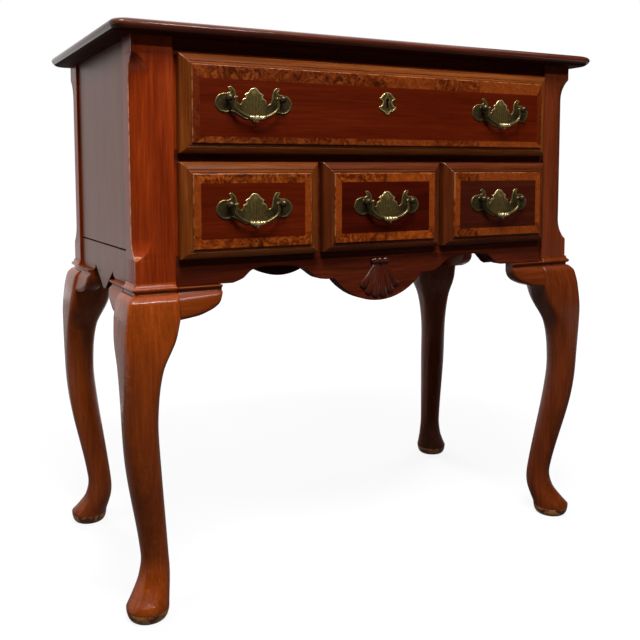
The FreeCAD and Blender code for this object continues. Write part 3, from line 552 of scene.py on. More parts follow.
# Woods
def wood(name, grain, tones, gloss=0.3, sheen=0.15, knee_light=1.0, wave=0.0):
    """Varnished wood with streaks along one axis, broad bands beside them and fine dark pores.

    knee_light is how much lighter the knee is painted, painted light on the knee that faces up, and wave how
    uneven the varnish lies.
    """
    paint = Paint(name)
    lie = paint.lengthwise(grain, 0.05)
    streaks = paint.noise(lie, 330, 4, 0.4)
    bands = paint.noise(lie, 95, 3, 0.5)
    broad = paint.noise(lie, 24, 2, 0.4)
    tone = paint.total((streaks, 0.4), (bands, 0.35), (broad, 0.25))
    colour = paint.ramp(tone, *zip((0.37, 0.5, 0.63), tones))
    pores = paint.noise(lie, 1500, 2)
    specks = paint.ramp(pores, (0.34, grey(0.55)), (0.42, grey(1.0)))
    colour = paint.mix(0.5, colour, specks, "MULTIPLY")
    # painted light: the colour grows lighter up the knee
    if knee_light != 1.0:
        level = paint.remap(paint.axis("Z"), LIT_KNEE, (1.0, knee_light), interpolation_type="SMOOTHSTEP")
        colour = paint.dim(colour, level)
    surface = paint.bump(pores, 0.12, 0.0002)
    if wave:
        surface = paint.bump(paint.noise(paint.spot, 110, 2), wave, 0.001, surface)
    rough = paint.remap(bands, UNIT, (gloss - 0.07, gloss + 0.09))
    return paint.finish(colour, rough, {"Normal": surface, "Specular IOR Level": sheen})


def burl(name, across, tones):
    """Burl veneer cut in lengths along the band: swirls, dark eyes, and plainer lengths between seams."""
    paint = Paint(name)
    spot = paint.spot
    run = paint.calc("MULTIPLY", paint.axis(across), 1 / BURL_LENGTH)
    cut = paint.calc("FLOOR", run, 0.0)
    chance = paint.add("TexWhiteNoise", {"W": cut}, noise_dimensions="1D").outputs["Value"]
    swirl = paint.noise(spot, 48, 4, 3.0)
    fine = paint.noise(spot, 200, 5, 2.0, 0.65)
    colour = paint.ramp(paint.total((swirl, 0.68), (fine, 0.32)), *zip((0.38, 0.5, 0.61), tones))
    eyes = paint.add("TexVoronoi", {"Vector": spot, "Scale": 190, "Randomness": 1.0}).outputs["Distance"]
    clusters = paint.noise(spot, 32, 2, 1.0)
    eye_mask = paint.calc("MULTIPLY", paint.remap(eyes, (0.16, 0.34), (1.0, 0.0)),
                          paint.remap(clusters, (0.45, 0.55), UNIT))
    eye_mask = paint.calc("MULTIPLY", eye_mask, paint.remap(chance, (0.3, 0.6), (0.9, 0.3)))
    colour = paint.mix(eye_mask, colour, srgb(44, 12, 4))
    calm = paint.remap(chance, (0.5, 0.62), (0.0, 0.75))
    colour = paint.mix(calm, colour, paint.ramp(fine, (0.35, tones[1]), (0.7, tones[2])))
    colour = paint.dim(colour, paint.remap(chance, UNIT, (0.78, 1.15)))
    within = paint.calc("SUBTRACT", run, cut)
    colour = paint.dim(colour, paint.remap(within, (0.006, 0.016), (0.6, 1.0)))
    return paint.finish(colour, paint.remap(swirl, UNIT, (0.24, 0.36)),
                        {"Normal": paint.bump(fine, 0.05, 0.0002), "Specular IOR Level": 0.15})


def patchy_edge(name, ground, pale_patch):
    """Arris where the varnish is thin in places, with pale patches; on the posts and drawer fronts these are
    also painted highlight.
    """
    paint = Paint(name)
    patches = paint.noise(paint.spot, 70, 4, 0.6)
    colour = paint.ramp(patches, (0.42, srgb(*ground)), (0.56, srgb(*pale_patch)))
    return paint.finish(colour, paint.remap(patches, UNIT, (0.24, 0.4)),
                        {"Normal": paint.bump(patches, 0.1, 0.0002), "Specular IOR Level": 0.4})


def bare_wood(name, grain, dark, light):
    """Planed, unfinished wood of the inside and back."""
    paint = Paint(name)
    lie = paint.lengthwise(grain, 0.04)
    rings = paint.noise(lie, 60, 5, 1.4)
    fibre = paint.noise(lie, 700, 3)
    tone = paint.total((rings, 0.7), (fibre, 0.3))
    colour = paint.ramp(tone, (0.34, srgb(*dark)), (0.62, srgb(*light)))
    return paint.finish(colour, paint.remap(rings, UNIT, (0.55, 0.75)),
                        {"Normal": paint.bump(fibre, 0.2, 0.0003)})


# Metals
def aged_brass(name):
    """Cast brass: dark in the hollows, olive on the ground, bright on raised edges polished by use; on the
    pull plates part of the brightness is painted highlight and part of the dark painted shade.
    """
    paint = Paint(name)
    raised = paint.add("Attribute", {}, attribute_name="relief").outputs["Fac"]
    mottle = paint.noise(paint.spot, 260, 4, 0.5)
    patchy = paint.calc("MULTIPLY", paint.calc("SUBTRACT", mottle, 0.5), 0.5)
    wear_and_highlight = paint.calc("ADD", raised, patchy)
    colour = paint.ramp(wear_and_highlight, (0.05, srgb(54, 45, 28)), (0.4, srgb(108, 91, 50)), (0.66, srgb(160, 138, 80)),
                        (0.95, srgb(226, 210, 164)))
    return paint.finish(colour, paint.remap(wear_and_highlight, UNIT, (0.36, 0.24)),
                        {"Normal": paint.bump(mottle, 0.15, 0.0003), "Metallic": 0.7})


def dull_steel(name):
    paint = Paint(name)
    mottle = paint.noise(paint.spot, 180, 4, 0.4)
    colour = paint.ramp(mottle, (0.3, srgb(92, 88, 84)), (0.7, srgb(150, 147, 142)))
    return paint.finish(colour, paint.remap(mottle, UNIT, (0.35, 0.55)), {"Metallic": 1.0})


# a near-black plug in the keyhole: painted shade for the hole's inside
def dark_hole(name):
    paint = Paint(name)
    colour = paint.ramp(paint.noise(paint.spot, 400, 3), (0.3, srgb(6, 4, 3)), (0.7, srgb(22, 15, 10)))
    return paint.finish(colour, 0.9, {"Specular IOR Level": 0.0})


# Sections
def rounded_ring(x0, x1, y0, y1, z, r, q=None, p=None, steps=9):
    """Rectangle with round corners; q rounds the corner at x1, y1 and p the one at x0, y0."""
    q = r if q is None else q
    p = r if p is None else p
    corners = [(x1 - r, y0 + r, r, -90), (x1 - q, y1 - q, q, 0), (x0 + r, y1 - r, r, 90),
               (x0 + p, y0 + p, p, 180)]
    points = []
    for cx, cy, radius, start in corners:
        for i in range(steps):
            a = math.radians(start + 90 * i / (steps - 1))
            points.append((cx + radius * math.cos(a), cy + radius * math.sin(a), z))
    return points


def inset(outline, distance):
    """Polygon drawn in by a distance, with mitred corners."""
    pts = np.array(outline, float)
    ahead = np.roll(pts, -1, 0) - pts
    ahead /= np.linalg.norm(ahead, axis=1)[:, None]
    behind = np.roll(ahead, 1, 0)
    turn = np.sum(pts[:, 0] * np.roll(pts[:, 1], -1) - np.roll(pts[:, 0], -1) * pts[:, 1])
    sign = 1.0 if turn > 0 else -1.0
    n1 = sign * np.stack([-behind[:, 1], behind[:, 0]], 1)
    n2 = sign * np.stack([-ahead[:, 1], ahead[:, 0]], 1)
    mid = n1 + n2
    mid /= np.maximum(np.sum(mid * n1, 1), 0.5)[:, None]
    return pts + mid * distance


def plank(outline, depth, put, ease=1.2):
    """Board of an outline with eased arrises; its sawn edges and back are finish 1, dark with painted shade.

    put turns (u, depth, v) into a point.
    """
    shape = Shape()
    rings = []
    for cut, at in ((ease, 0.0), (ease * 0.3, ease * 0.3), (0.0, ease), (0.0, depth - ease), (ease, depth)):
        rings.append(shape.ring([put(u, at, v) for u, v in inset(outline, cut)]))
    shape.face(rings[0])
    for i, (a, b) in enumerate(zip(rings, rings[1:])):
        shape.bridge(a, b, 1 if i else 0)
    shape.face(rings[-1], 1)
    return shape


def revolve(profile, put, steps=24, relief=0.7):
    """Body turned from (distance along, radius) points; put turns (across, along, up) into a point."""
    rings = []
    for at, radius in profile:
        ring = []
        for i in range(steps):
            a = 2 * math.pi * i / steps
            ring.append(put(radius * math.cos(a), at, radius * math.sin(a)))
        rings.append(ring)
    return Shape().loft(rings, 0, relief)


# Case pieces
def top_shape():
    """Top board; finish 1, dark with painted shade, is its underside with the shaded foot of the nose, 2 the
    rest of the nose.
    """
    profile = list(NOSE_PROFILE)
    crown = TOP_T - NOSE_H
    for turn in range(8, 91, 6):
        a = math.radians(turn)
        profile.append((THUMB_W * (1 - math.cos(a)) ** THUMB_BEND, NOSE_H + crown * math.sin(a)))
    rings = []
    for cut, rise in profile:
        rings.append(rounded_ring(-TOP_X + cut, TOP_X - cut, TOP_FRONT + cut, TOP_BACK - cut, CASE_TOP + rise,
                                  TOP_CORNER_R))
    shape = Shape().loft(rings)
    under = 1 + SHADED_ROWS * len(rings[0])
    shape.paint[:under] = [1] * under
    shape.paint[under:-1] = [2] * (len(shape.paint) - under - 1)
    return shape


def post_ring(z, share):
    """Section of the front left post; share is the depth of the chamfer from 0 to 1."""
    cx = max(CHAMFER_X * share, 2 * ARRIS)
    cy = max(CHAMFER_Y * share, 2 * ARRIS)
    e = min(ARRIS, 0.2 * min(cx, cy)) / math.hypot(cx, cy)
    left, front = -HALF_W, -HALF_D
    side = np.array([left, front + cy])
    face = np.array([left + cx, front])
    run = face - side
    points = [side + (0, ARRIS), side + run * e, face - run * e, face + (ARRIS, 0)]
    for corner, a, b in (((-POST_X, front), (-1, 0), (0, 1)), ((-POST_X, -POST_Y), (0, -1), (-1, 0)),
                         ((left, -POST_Y), (1, 0), (0, -1))):
        corner = np.array(corner, float)
        points += [corner + ARRIS * np.array(a), corner + ARRIS * np.array(b)]
    return [(p[0], p[1], z) for p in points]


def post_shape():
    """Front left post; finish 1 is the pale arris beside the chamfer, painted highlight with some wearing,
    and the foot of its lower stop, painted highlight.
    """
    levels = [(LEG_H, 0.0)]
    turns = [math.radians(30 + 60 * i / STOP_STEPS) for i in range(STOP_STEPS + 1)]
    stop = [(CHAMFER_RUN * (1 - math.cos(a) / math.cos(turns[0])), 2 * math.sin(a) - 1) for a in turns]
    levels += [(CHAMFER_LOW + run, share) for run, share in stop]
    levels += [(CHAMFER_HIGH - run, share) for run, share in reversed(stop)]
    levels.append((CASE_TOP, 0.0))
    rings = [post_ring(z, share) for z, share in levels]
    shape = Shape().loft(rings)
    sides = len(rings[0])
    for i in range(len(levels) - 1):
        shape.paint[1 + sides * i] = 1
    # painted highlight: the foot of the lower stop takes the pale finish
    for i in range(1, 1 + GLINT_ROWS):
        shape.paint[2 + sides * i] = 1
    return shape


def leg_ring(z, out, into, share, clipped=False, outer=None):
    x0 = -HALF_W - out
    y0 = -HALF_D - out
    side = out + into
    if clipped:
        return rounded_ring(x0, -POST_X, y0, -POST_Y, z, SHARP_KNEE * side, 1.0)
    return rounded_ring(x0, x0 + side, y0, y0 + side, z, share * side, ROUND_SHANK * side, outer)


def leg_shape():
    """Front left leg with pad foot, knee and moulded head; finish 1 is the scuffed pad, 2 its sole, dark with
    painted shade.
    """
    rings = []
    for turn in (0, 12, 25, 38, 52, 66, 80):
        a = math.radians(turn)
        radius = SOLE_R + (FOOT_R - SOLE_R) * math.sin(a)
        rings.append(leg_ring(FOOT_Z * (1 - math.cos(a)), radius - FOOT_SET, radius + FOOT_SET, ROUND_SHANK))
    for z in np.linspace(FOOT_Z, BLOCK_LOW, 64):
        rings.append(leg_ring(z, along(LEG_OUTER, z), along(LEG_INNER, z), along(LEG_ROUND, z)))
    for share in np.linspace(0.05, 1.0, 22):
        z = BLOCK_LOW + (KNEE_TOP - BLOCK_LOW) * share
        over = max(0.0, share - KNEE_ROLL_FROM) / (1 - KNEE_ROLL_FROM)
        out = along(LEG_OUTER, z) - KNEE_ROLL * over ** 2
        corner = LEG_ROUND[-1][1] * (1 - share) + SHARP_KNEE * share
        rings.append(leg_ring(z, out, HEAD_IN, corner, outer=KNEE_CORNER_R - KNEE_CORNER_TAPER * share))
    cap = [(KNEE_TOP + rise, out) for rise, out in CAP_PROFILE]
    rings += [leg_ring(z, out, HEAD_IN, SHARP_KNEE) for z, out in cap if z < BLOCK_TOP]
    rings.append(leg_ring(BLOCK_TOP, BEAD_OUT, HEAD_IN, SHARP_KNEE))
    rings += [leg_ring(z, out, HEAD_IN, SHARP_KNEE, True) for z, out in cap if z > BLOCK_TOP]
    shape = Shape().loft(rings)
    sole = 1 + SOLE_ROWS * len(rings[0])
    scuff = SCUFF_ROWS * len(rings[0])
    shape.paint[:sole + scuff] = [2] * sole + [1] * scuff
    return shape


def knee_block_shape():
    """Front left knee block, with the leg head's moulding carried along it."""
    x0 = -HALF_W + HEAD_IN
    back = -HALF_D - BEAD_OUT + BLOCK_T
    sag = BLOCK_TOP - BLOCK_END_H - BLOCK_LOW
    under = [(share, BLOCK_LOW + sag * part) for share, part in BLOCK_UNDER]
    rings = []
    for share in list(np.linspace(0, 0.9, 16)) + [0.93, 0.96, 0.98, 1.0]:
        x = x0 + BLOCK_L * share
        low = along(under, share)
        pinch = max(0.0, share - 0.94) / 0.06
        ring = [(x, back, BLOCK_TOP), (x, back, low + 1.0), (x, back - 1.5, low)]
        for k in range(11):
            t = k / 10
            z = low + (KNEE_TOP - 0.6 - low) * t
            knee = along(LEG_OUTER, z)
            near = knee - BLOCK_SET
            far = BLOCK_END_OUT - (KNEE_OUT - knee) * 0.3
            out = near * (1 - share) + far * share
            round_under = 3.0 * (1 - min(t * (KNEE_TOP - low) / 6.0, 1.0)) ** 2
            round_over = 2.2 * max(0.0, t - 0.8) / 0.2
            ring.append((x, -HALF_D - out + round_under + round_over + 1.5 * pinch, z))
        for rise, out in CAP_PROFILE[:7]:
            ring.append((x, -HALF_D - out + 0.8 * pinch, KNEE_TOP + rise))
        ring.append((x, -HALF_D - 4.6 + 0.8 * pinch, BLOCK_TOP))
        rings.append(ring)
    return Shape().loft(rings)


def cross_apron_outline():
    """Front apron as (x, z): scallops and a round pendant."""
    foot = BLOCK_TOP
    left = through([(x, foot + rise) for x, rise in SCALLOP], 7)
    radius = (PENDANT_HALF ** 2 + PENDANT_DROP ** 2) / (2 * PENDANT_DROP)
    centre = foot - LEDGE - PENDANT_DROP + radius
    tip = []
    for i in range(1, PENDANT_STEPS):
        x = -PENDANT_HALF + 2 * PENDANT_HALF * i / PENDANT_STEPS
        tip.append((x, centre - math.sqrt(radius ** 2 - x ** 2)))
    low = [(-POST_X, foot)] + left + [(-PENDANT_HALF, foot - LEDGE)]
    right = [(-x, z) for x, z in reversed(low)]
    return low + tip + right + [(POST_X, APRON_TOP), (-POST_X, APRON_TOP)]


def side_apron_outline():
    """Side apron as (y, z): two notches and a pointed pendant."""
    foot = BLOCK_TOP
    notch, tip = (through([(y, foot + rise) for y, rise in curve], 5) for curve in (SIDE_NOTCH, SIDE_TIP))
    low = [(-POST_Y, foot)] + notch + tip[:-1]
    right = [(-y, z) for y, z in reversed(low)]
    return low + [tip[-1]] + right + [(POST_Y, SIDE_APRON_TOP), (-POST_Y, SIDE_APRON_TOP)]


def shell_shape():
    """Fan of rounded lobes with a rolled scroll at its head."""
    whole = Shape()
    for i in range(SHELL_LOBES):
        turn = math.radians(SHELL_SPREAD) * (i / (SHELL_LOBES - 1) - 0.5)
        away = abs(2 * i / (SHELL_LOBES - 1) - 1)
        length = SHELL_L - (SHELL_L - SHELL_OUTER_L) * away ** 2
        rings = []
        for t in list(np.linspace(0.06, 0.86, 12)) + [0.92, 0.96, 0.985, 1.0]:
            reach = (length + LOBE_R - 1.2) * t
            width = 0.6 + LOBE_R * min(reach / length, 1.0)
            if reach > length:
                width *= math.sqrt(max(1 - ((reach - length) / LOBE_R) ** 2, 0.004))
            ring = []
            for k in range(13):
                a = math.pi * k / 12
                across = width * math.cos(a)
                rise = (0.78 * width * math.sin(a) + 0.9) * (1 - 0.45 * max(0.0, t - 0.72) / 0.28)
                x = math.sin(turn) * reach + math.cos(turn) * across
                z = SHELL_Z - math.cos(turn) * reach + math.sin(turn) * across
                ring.append((x, -FRAME_Y - rise, z))
            ring += [(ring[-1][0], -FRAME_Y + 0.5, ring[-1][2]), (ring[0][0], -FRAME_Y + 0.5, ring[0][2])]
            rings.append(ring)
        whole.add(Shape().loft(rings))
    profile = []
    for t in np.linspace(-1, 1, 33):
        swell = SCROLL_R + 0.8 * math.cos(t * 3.4 * math.pi)
        profile.append((SCROLL_HALF * t, swell * math.sqrt(max(1 - (abs(t) / 1.02) ** 10, 0.02))))
    whole.add(revolve(profile, lambda u, at, v: (at, -FRAME_Y - 0.4 + u, SHELL_Z - SCROLL_DROP + v), 20))
    return whole


# Drawer fronts
def rect(x0, x1, z0, z1, cut, y):
    """Rectangle drawn in by cut, which gives sides, bottom and top, with its corners clipped."""
    side, low, high = cut
    x0, x1, z0, z1 = x0 + side, x1 - side, z0 + low, z1 - high
    clip = MITRE_CLIP
    return [(x0 + clip, y, z0), (x1 - clip, y, z0), (x1, y, z0 + clip), (x1, y, z1 - clip),
            (x1 - clip, y, z1), (x0 + clip, y, z1), (x0, y, z1 - clip), (x0, y, z0 + clip)]


def drawer_front_shape(x0, x1, z0, z1, lip_top, bands):
    """Lipped front.

    Finishes 0 and 1 are mouldings along X and Z, 2 and 3 bands, 4 the field, 5 the back, 6 the pale arris,
    painted highlight with some wearing.
    """
    lip = (x0 - LIP, x1 + LIP, z0 - LIP, z1 + lip_top)
    whole = np.array(MOULD_W) + (0, 0, lip_top - LIP)
    rise = FIELD_Y - LIP_FRONT + FIELD_STEP
    steps = [(whole * 0, LIP_BACK), (whole * 0, LIP_FRONT + 1.2), (whole * 0 + 0.3, LIP_FRONT + 0.35)]
    for share in MOULD_SHARES:
        quirk = QUIRK_DEEP * math.exp(-((share - QUIRK_AT) / QUIRK_WIDE) ** 2)
        steps.append((whole * share, LIP_FRONT + rise * math.sin(share * math.pi / 2) ** 0.8 + quirk))
    step_from = len(steps) - 1
    steps += [(whole + 0.05, FIELD_Y + 0.8), (whole + 0.3, FIELD_Y + 0.25), (whole + FIELD_EDGE, FIELD_Y)]
    band_from = len(steps) - 1
    steps.append((whole + FIELD_EDGE + bands, FIELD_Y))
    shape = Shape()
    rings = [shape.ring(rect(*lip, cut, y)) for cut, y in steps]
    for i, (a, b) in enumerate(zip(rings, rings[1:])):
        for k in range(8):
            j = (k + 1) % 8
            upright = k // 2 % 2
            finish = upright if i < step_from else 2 + upright
            # painted highlight: the field's arris, except along the bottom, and the top left mitre take the
            # pale finish 6
            if (step_from <= i < band_from and k) or (k == 5 and i < step_from):
                finish = 6
            shape.face((a[k], a[j], b[j], b[k]), finish)
            shape.creases.append((a[k], b[k]))
    shape.face(rings[-1], 4)
    for k in range(8):
        shape.creases.append((rings[band_from][k], rings[band_from][(k + 1) % 8]))
    back = [shape.ring(rect(x0, x1, z0, z1, BOX_GAP, y)) for y in (LIP_BACK, FRONT_BACK + 0.05)]
    shape.bridge(rings[0], back[0], 0)
    shape.bridge(back[0], back[1], 5)
    shape.face(back[1], 5)
    return shape


# Brass
def polygon_distance(points, outline):
    """Distance of each point to the nearest edge of a closed outline."""
    a = np.array(outline, float)
    b = np.roll(a, -1, 0)
    edge = b - a
    gap = points[:, None, :] - a[None]
    t = np.clip(np.sum(gap * edge[None], 2) / np.sum(edge * edge, 1)[None], 0, 1)
    near = gap - t[..., None] * edge[None]
    return np.sqrt(np.min(np.sum(near * near, 2), 1))


def inside(points, outline):
    """Which points lie inside a closed outline."""
    a = np.array(outline, float)
    b = np.roll(a, -1, 0)
    x, y = points[:, 0][:, None], points[:, 1][:, None]
    crosses = (a[None, :, 1] > y) != (b[None, :, 1] > y)
    rise = np.where(b[:, 1] == a[:, 1], 1e-9, b[:, 1] - a[:, 1])
    at = a[None, :, 0] + (y - a[None, :, 1]) * ((b - a)[None, :, 0] / rise[None])
    return np.sum(crosses & (x < at), 1) % 2 == 1


def relief_shape(outline, hole, height, centre, grid):
    """Plate of an outline with a modelled face; height gives (rise, brightness) for points and edge distance,
    the brightness from wearing and painted light.
    """
    loops = [np.array(outline, float)]
    if hole:
        loops.append(np.array(hole, float))
    fill = []
    for cut in PLATE_RINGS:
        ring = inset(outline, cut)
        fill.append(ring[polygon_distance(ring, outline) > cut * 0.8])
    low, high = loops[0].min(0), loops[0].max(0)
    us, vs = np.meshgrid(np.arange(low[0], high[0], grid), np.arange(low[1], high[1], grid))
    field = np.stack([us.ravel(), vs.ravel()], 1)
    fill.append(field[polygon_distance(field, outline) > PLATE_RINGS[-1] + grid * 0.5])
    fill = np.concatenate(fill)
    fill = fill[inside(fill, outline)]
    if hole:
        fill = fill[~inside(fill, hole)]
        fill = fill[polygon_distance(fill, hole) > grid * 0.5]
    edges = []
    start = 0
    for loop in loops:
        count = len(loop)
        edges += [(start + i, start + (i + 1) % count) for i in range(count)]
        start += count
    points = np.concatenate(loops + [fill])
    found = delaunay_2d_cdt([Vector(p) for p in points], edges, [], 0, 1e-5)
    flat = np.array([tuple(p) for p in found[0]])
    rise, wear_and_painted_light = height(flat, polygon_distance(flat, outline))
    shape = Shape()
    cx, cy, cz = centre
    shape.verts = [(cx + u, cy - h, cz + v) for (u, v), h in zip(flat, rise)]
    shape.relief = [float(w) for w in wear_and_painted_light]
    for tri in found[2]:
        middle = flat[list(tri)].mean(0)[None]
        if inside(middle, outline)[0] and not (hole and inside(middle, hole)[0]):
            shape.face(tri)
    border = {}
    for tri in shape.faces:
        for i in range(3):
            a, b = tri[i], tri[(i + 1) % 3]
            border[(a, b)] = (b, a)
    rim = [pair for pair, back in border.items() if back not in border]
    twin = {}
    for a, b in rim:
        for i in (a, b):
            if i not in twin:
                x, _, z = shape.verts[i]
                twin[i] = len(shape.verts)
                shape.verts.append((x, cy, z))
                shape.relief.append(0.1)
    for a, b in rim:
        shape.face((b, a, twin[a], twin[b]))
    return shape


def both_sides(curves):
    """Closed outline from curves listed down the right half."""
    right = []
    for curve in curves:
        right += through(curve, 6)[:-1]
    right.append(curves[-1][-1])
    left = [(-x, z) for x, z in reversed(right[1:-1])]
    return right + left


BAT_WING = [
    [(0, 14.3), (3.8, 13.3), (6.4, 10.8), (8.6, 8.2)],
    [(8.6, 8.2), (11.2, 6.8), (13.9, 4.9)],
    [(13.9, 4.9), (12.6, 3.2), (12.3, 1.2)],
    [(12.3, 1.2), (14.4, 0.3), (16.9, -1.3)],
    [(16.9, -1.3), (17.6, -4.4), (19.6, -7.0), (22.6, -5.4)],
    [(22.6, -5.4), (24.2, -1), (24.9, 4), (27.2, 10.6), (31.6, 15.2)],
    [(31.6, 15.2), (36.4, 14.2), (36.0, 11.4), (33.5, 8.6)],
    [(33.5, 8.6), (36.8, 6.6), (43.4, 6.2), (50, 3.2), (53.8, -2.4), (54.2, -7.6), (51.4, -13.6),
     (45.4, -18.0), (39, -19.2)],
    [(39, -19.2), (33, -17.8), (28, -18.6), (21, -22.2), (13, -26.4), (6, -26.6), (0, -31.2)]]

KEY_PLATE = [
    [(0, 11.2), (4.5, 10.4), (6.8, 8.6), (9.3, 5.8), (13.3, 2.6)],
    [(13.3, 2.6), (12.7, 0.8), (9.8, -0.6), (7.9, -2.6), (8.7, -5.2), (10.8, -7.6), (15, -8.8)],
    [(15, -8.8), (13.6, -12), (8.9, -15.2), (4.9, -16.4)],
    [(4.9, -16.4), (3.6, -18.8), (0, -20.8)]]


def rim_rise(distance):
    """Rounded raised border of a cast plate."""
    return 0.6 * np.exp(-((distance - 1.1) / 0.9) ** 2) * (distance > 0.01)


def bat_wing_height(points, distance):
    u, v = points[:, 0], points[:, 1]
    rim = rim_rise(distance)
    middle = np.clip(1 - np.abs(u) / 21, 0, 1) ** 0.5 * np.clip((distance - 2.2) / 2, 0, 1)
    fan = np.arctan2(u, v + 48.0)
    flutes = 0.2 * np.cos(fan * 2 * math.pi / 0.105) * middle * np.clip((4 - v) / 8, 0, 1)
    crest = 0.9 * np.exp(-(u / 3.6) ** 2 - ((v - 7.0) / 4.2) ** 2)
    rise = 0.7 + rim + flutes + crest
    # the middle is brighter than the wings and lighter towards its top; its lowest part, under the bail,
    # drops to the wings' tone: painted shade
    centre = np.clip((18.5 - np.abs(u)) / 6, 0, 1) * np.clip((v + 23) / 5, 0, 1)
    # only the rims that face up are bright: painted highlight over the rims' wearing
    lit_from_above = np.clip((v + 14) / 12, 0.1, 1)
    ground = 0.17 + 0.27 * centre * (0.75 + 0.25 * np.clip((v + 10) / 16, 0, 1))
    return rise, np.clip(ground + 0.8 * rim * lit_from_above + 0.5 * flutes + 0.2 * crest, 0, 1)


def key_plate_height(points, distance):
    u, v = points[:, 0], points[:, 1]
    rim = rim_rise(distance)
    tacks = np.exp(-(u ** 2 + (v - 7.2) ** 2) / 2.2) + np.exp(-(u ** 2 + (v + 16.2) ** 2) / 2.2)
    collar = 0.5 * np.exp(-((np.hypot(u, v) - 4.0) / 0.8) ** 2)
    rise = 0.7 + rim + 0.6 * tacks + collar
    return rise, np.clip(0.26 + 1.0 * rim + 0.5 * tacks + 0.6 * collar, 0, 1)


def turned_post(x, z):
    """Ball-headed post through the drawer front, with its nut inside."""
    def put(across, at, up):
        return (x + across, FIELD_Y - at, z + up)

    profile = list(COLLAR)
    for turn in range(-58, 91, 12):
        a = math.radians(turn)
        profile.append((PULL_STAND + KNOB_R * math.sin(a), max(KNOB_R * math.cos(a), 0.15)))
    post = revolve(profile, put, 24, 0.1)
    depth = FRONT_BACK - FIELD_Y
    nut = revolve([(-depth - at, radius) for at, radius in NUT], put, 6, 0.4)
    stem = revolve([(-depth - at, radius) for at, radius in STEM], put, 16, 0.5)
    return post.add(nut).add(stem)


def pull_plate_shape(x, z):
    whole = relief_shape(both_sides(BAT_WING), None, bat_wing_height, (x, FIELD_Y, z), 1.15)
    for side in (-1, 1):
        whole.add(turned_post(x + side * BORING / 2, z))
    return whole


def bail_path():
    """Half of the bail as (x, drop) from its left end to the middle: arm, bend and flat low arc."""
    inner = BAIL_HALF - BAIL_BEND_R
    drop = BAIL_DROP - BAIL_ARM
    low_r = (inner ** 2 + drop ** 2 - BAIL_BEND_R ** 2) / (2 * (drop - BAIL_BEND_R))
    up = low_r - BAIL_DROP
    meet = math.atan2(-BAIL_ARM - up, -inner) % (2 * math.pi)
    path = [(-BAIL_HALF, -BAIL_ARM * t) for t in (0, 0.25, 0.5, 0.75)]
    for a in np.linspace(math.pi, meet, 12)[:-1]:
        path.append((-inner + BAIL_BEND_R * math.cos(a), -BAIL_ARM + BAIL_BEND_R * math.sin(a)))
    for a in np.linspace(meet, 1.5 * math.pi, 50):
        path.append((low_r * math.cos(a), up + low_r * math.sin(a)))
    return [(x - BAIL_SWELL * math.sin(math.pi * min(-z / 18.0, 1.0)), z) for x, z in path]


def bail_radius(x):
    away = abs(x)
    radius = BAIL_R + 0.35 * math.exp(-((away - 9.5) / 2.0) ** 2)
    for centre, size in BAIL_BEADS:
        if abs(away - centre) < size:
            radius = max(radius if centre else 1.9, math.sqrt(size ** 2 - (away - centre) ** 2))
    return radius


def bail_shape(x, z):
    """Swinging handle: drooping bar with beads and a drop in the middle, and a pin at each end."""
    half = bail_path()
    path = half + [(-px, pz) for px, pz in reversed(half[:-1])]
    y = FIELD_Y - PULL_STAND
    rings = []
    for i, (px, pz) in enumerate(path):
        ax, az = path[max(i - 1, 0)]
        bx, bz = path[min(i + 1, len(path) - 1)]
        size = math.hypot(bx - ax, bz - az)
        nx, nz = -(bz - az) / size, (bx - ax) / size
        radius = bail_radius(px)
        ring = []
        for k in range(BAIL_SIDES):
            a = 2 * math.pi * k / BAIL_SIDES
            ring.append((x + px + nx * radius * math.cos(a), y + radius * math.sin(a),
                         z + pz + nz * radius * math.cos(a)))
        rings.append(ring)
    whole = Shape().loft(rings, 0, 0.3)
    for i, (px, _) in enumerate(path):
        if abs(px) < BRIGHT_HALF:
            whole.relief[BAIL_SIDES * i:BAIL_SIDES * (i + 1)] = [0.8] * BAIL_SIDES
    pin = [(BAIL_HALF + at, radius) for at, radius in PIN] + [(BORING / 2 + PIN_PAST, PIN_R)]
    for side in (-1, 1):
        whole.add(revolve(pin, lambda u, at, v: (x + side * at, y + u, z + v), BAIL_SIDES, 0.3))
    finial = [(-BAIL_DROP - at, radius) for at, radius in FINIAL]
    whole.add(revolve(finial, lambda u, at, v: (x + u, y + v, z + at), 16, 0.7))
    return whole


def keyhole_outline():
    points = []
    for turn in range(-52, 233, 15):
        a = math.radians(turn)
        points.append((KEYHOLE_R * math.cos(a), KEYHOLE_R * math.sin(a)))
    wide, deep = KEYHOLE_SLOT
    return points + [(-wide, -deep), (wide, -deep)]


def escutcheon_shape():
    """Key plate; finish 1 is the dark hole behind it, a near-black plug: painted shade."""
    keyhole = keyhole_outline()
    whole = relief_shape(both_sides(KEY_PLATE), keyhole, key_plate_height, (0.0, FIELD_Y, KEY_Z), 0.9)
    hole = Shape()
    ring = [(u * 1.1, FIELD_Y - 0.06, KEY_Z + v * 1.06) for u, v in keyhole]
    hole.loft([ring, [(px, FIELD_Y + 1.0, pz) for px, _, pz in ring]], 1, 0.0)
    return whole.add(hole)


# Scene
def look_along(yaw, pitch, roll):
    """Camera axes from its angles, as a rotation matrix."""
    yaw, pitch, roll = (math.radians(v) for v in (yaw, pitch, roll))
    ahead = Vector((math.sin(yaw) * math.cos(pitch), math.cos(yaw) * math.cos(pitch), math.sin(pitch)))
    right = ahead.cross(Vector((0, 0, 1))).normalized()
    up = right.cross(ahead)
    turned = right * math.cos(roll) + up * math.sin(roll)
    over = up * math.cos(roll) - right * math.sin(roll)
    return Matrix((turned, over, -ahead)).transposed()


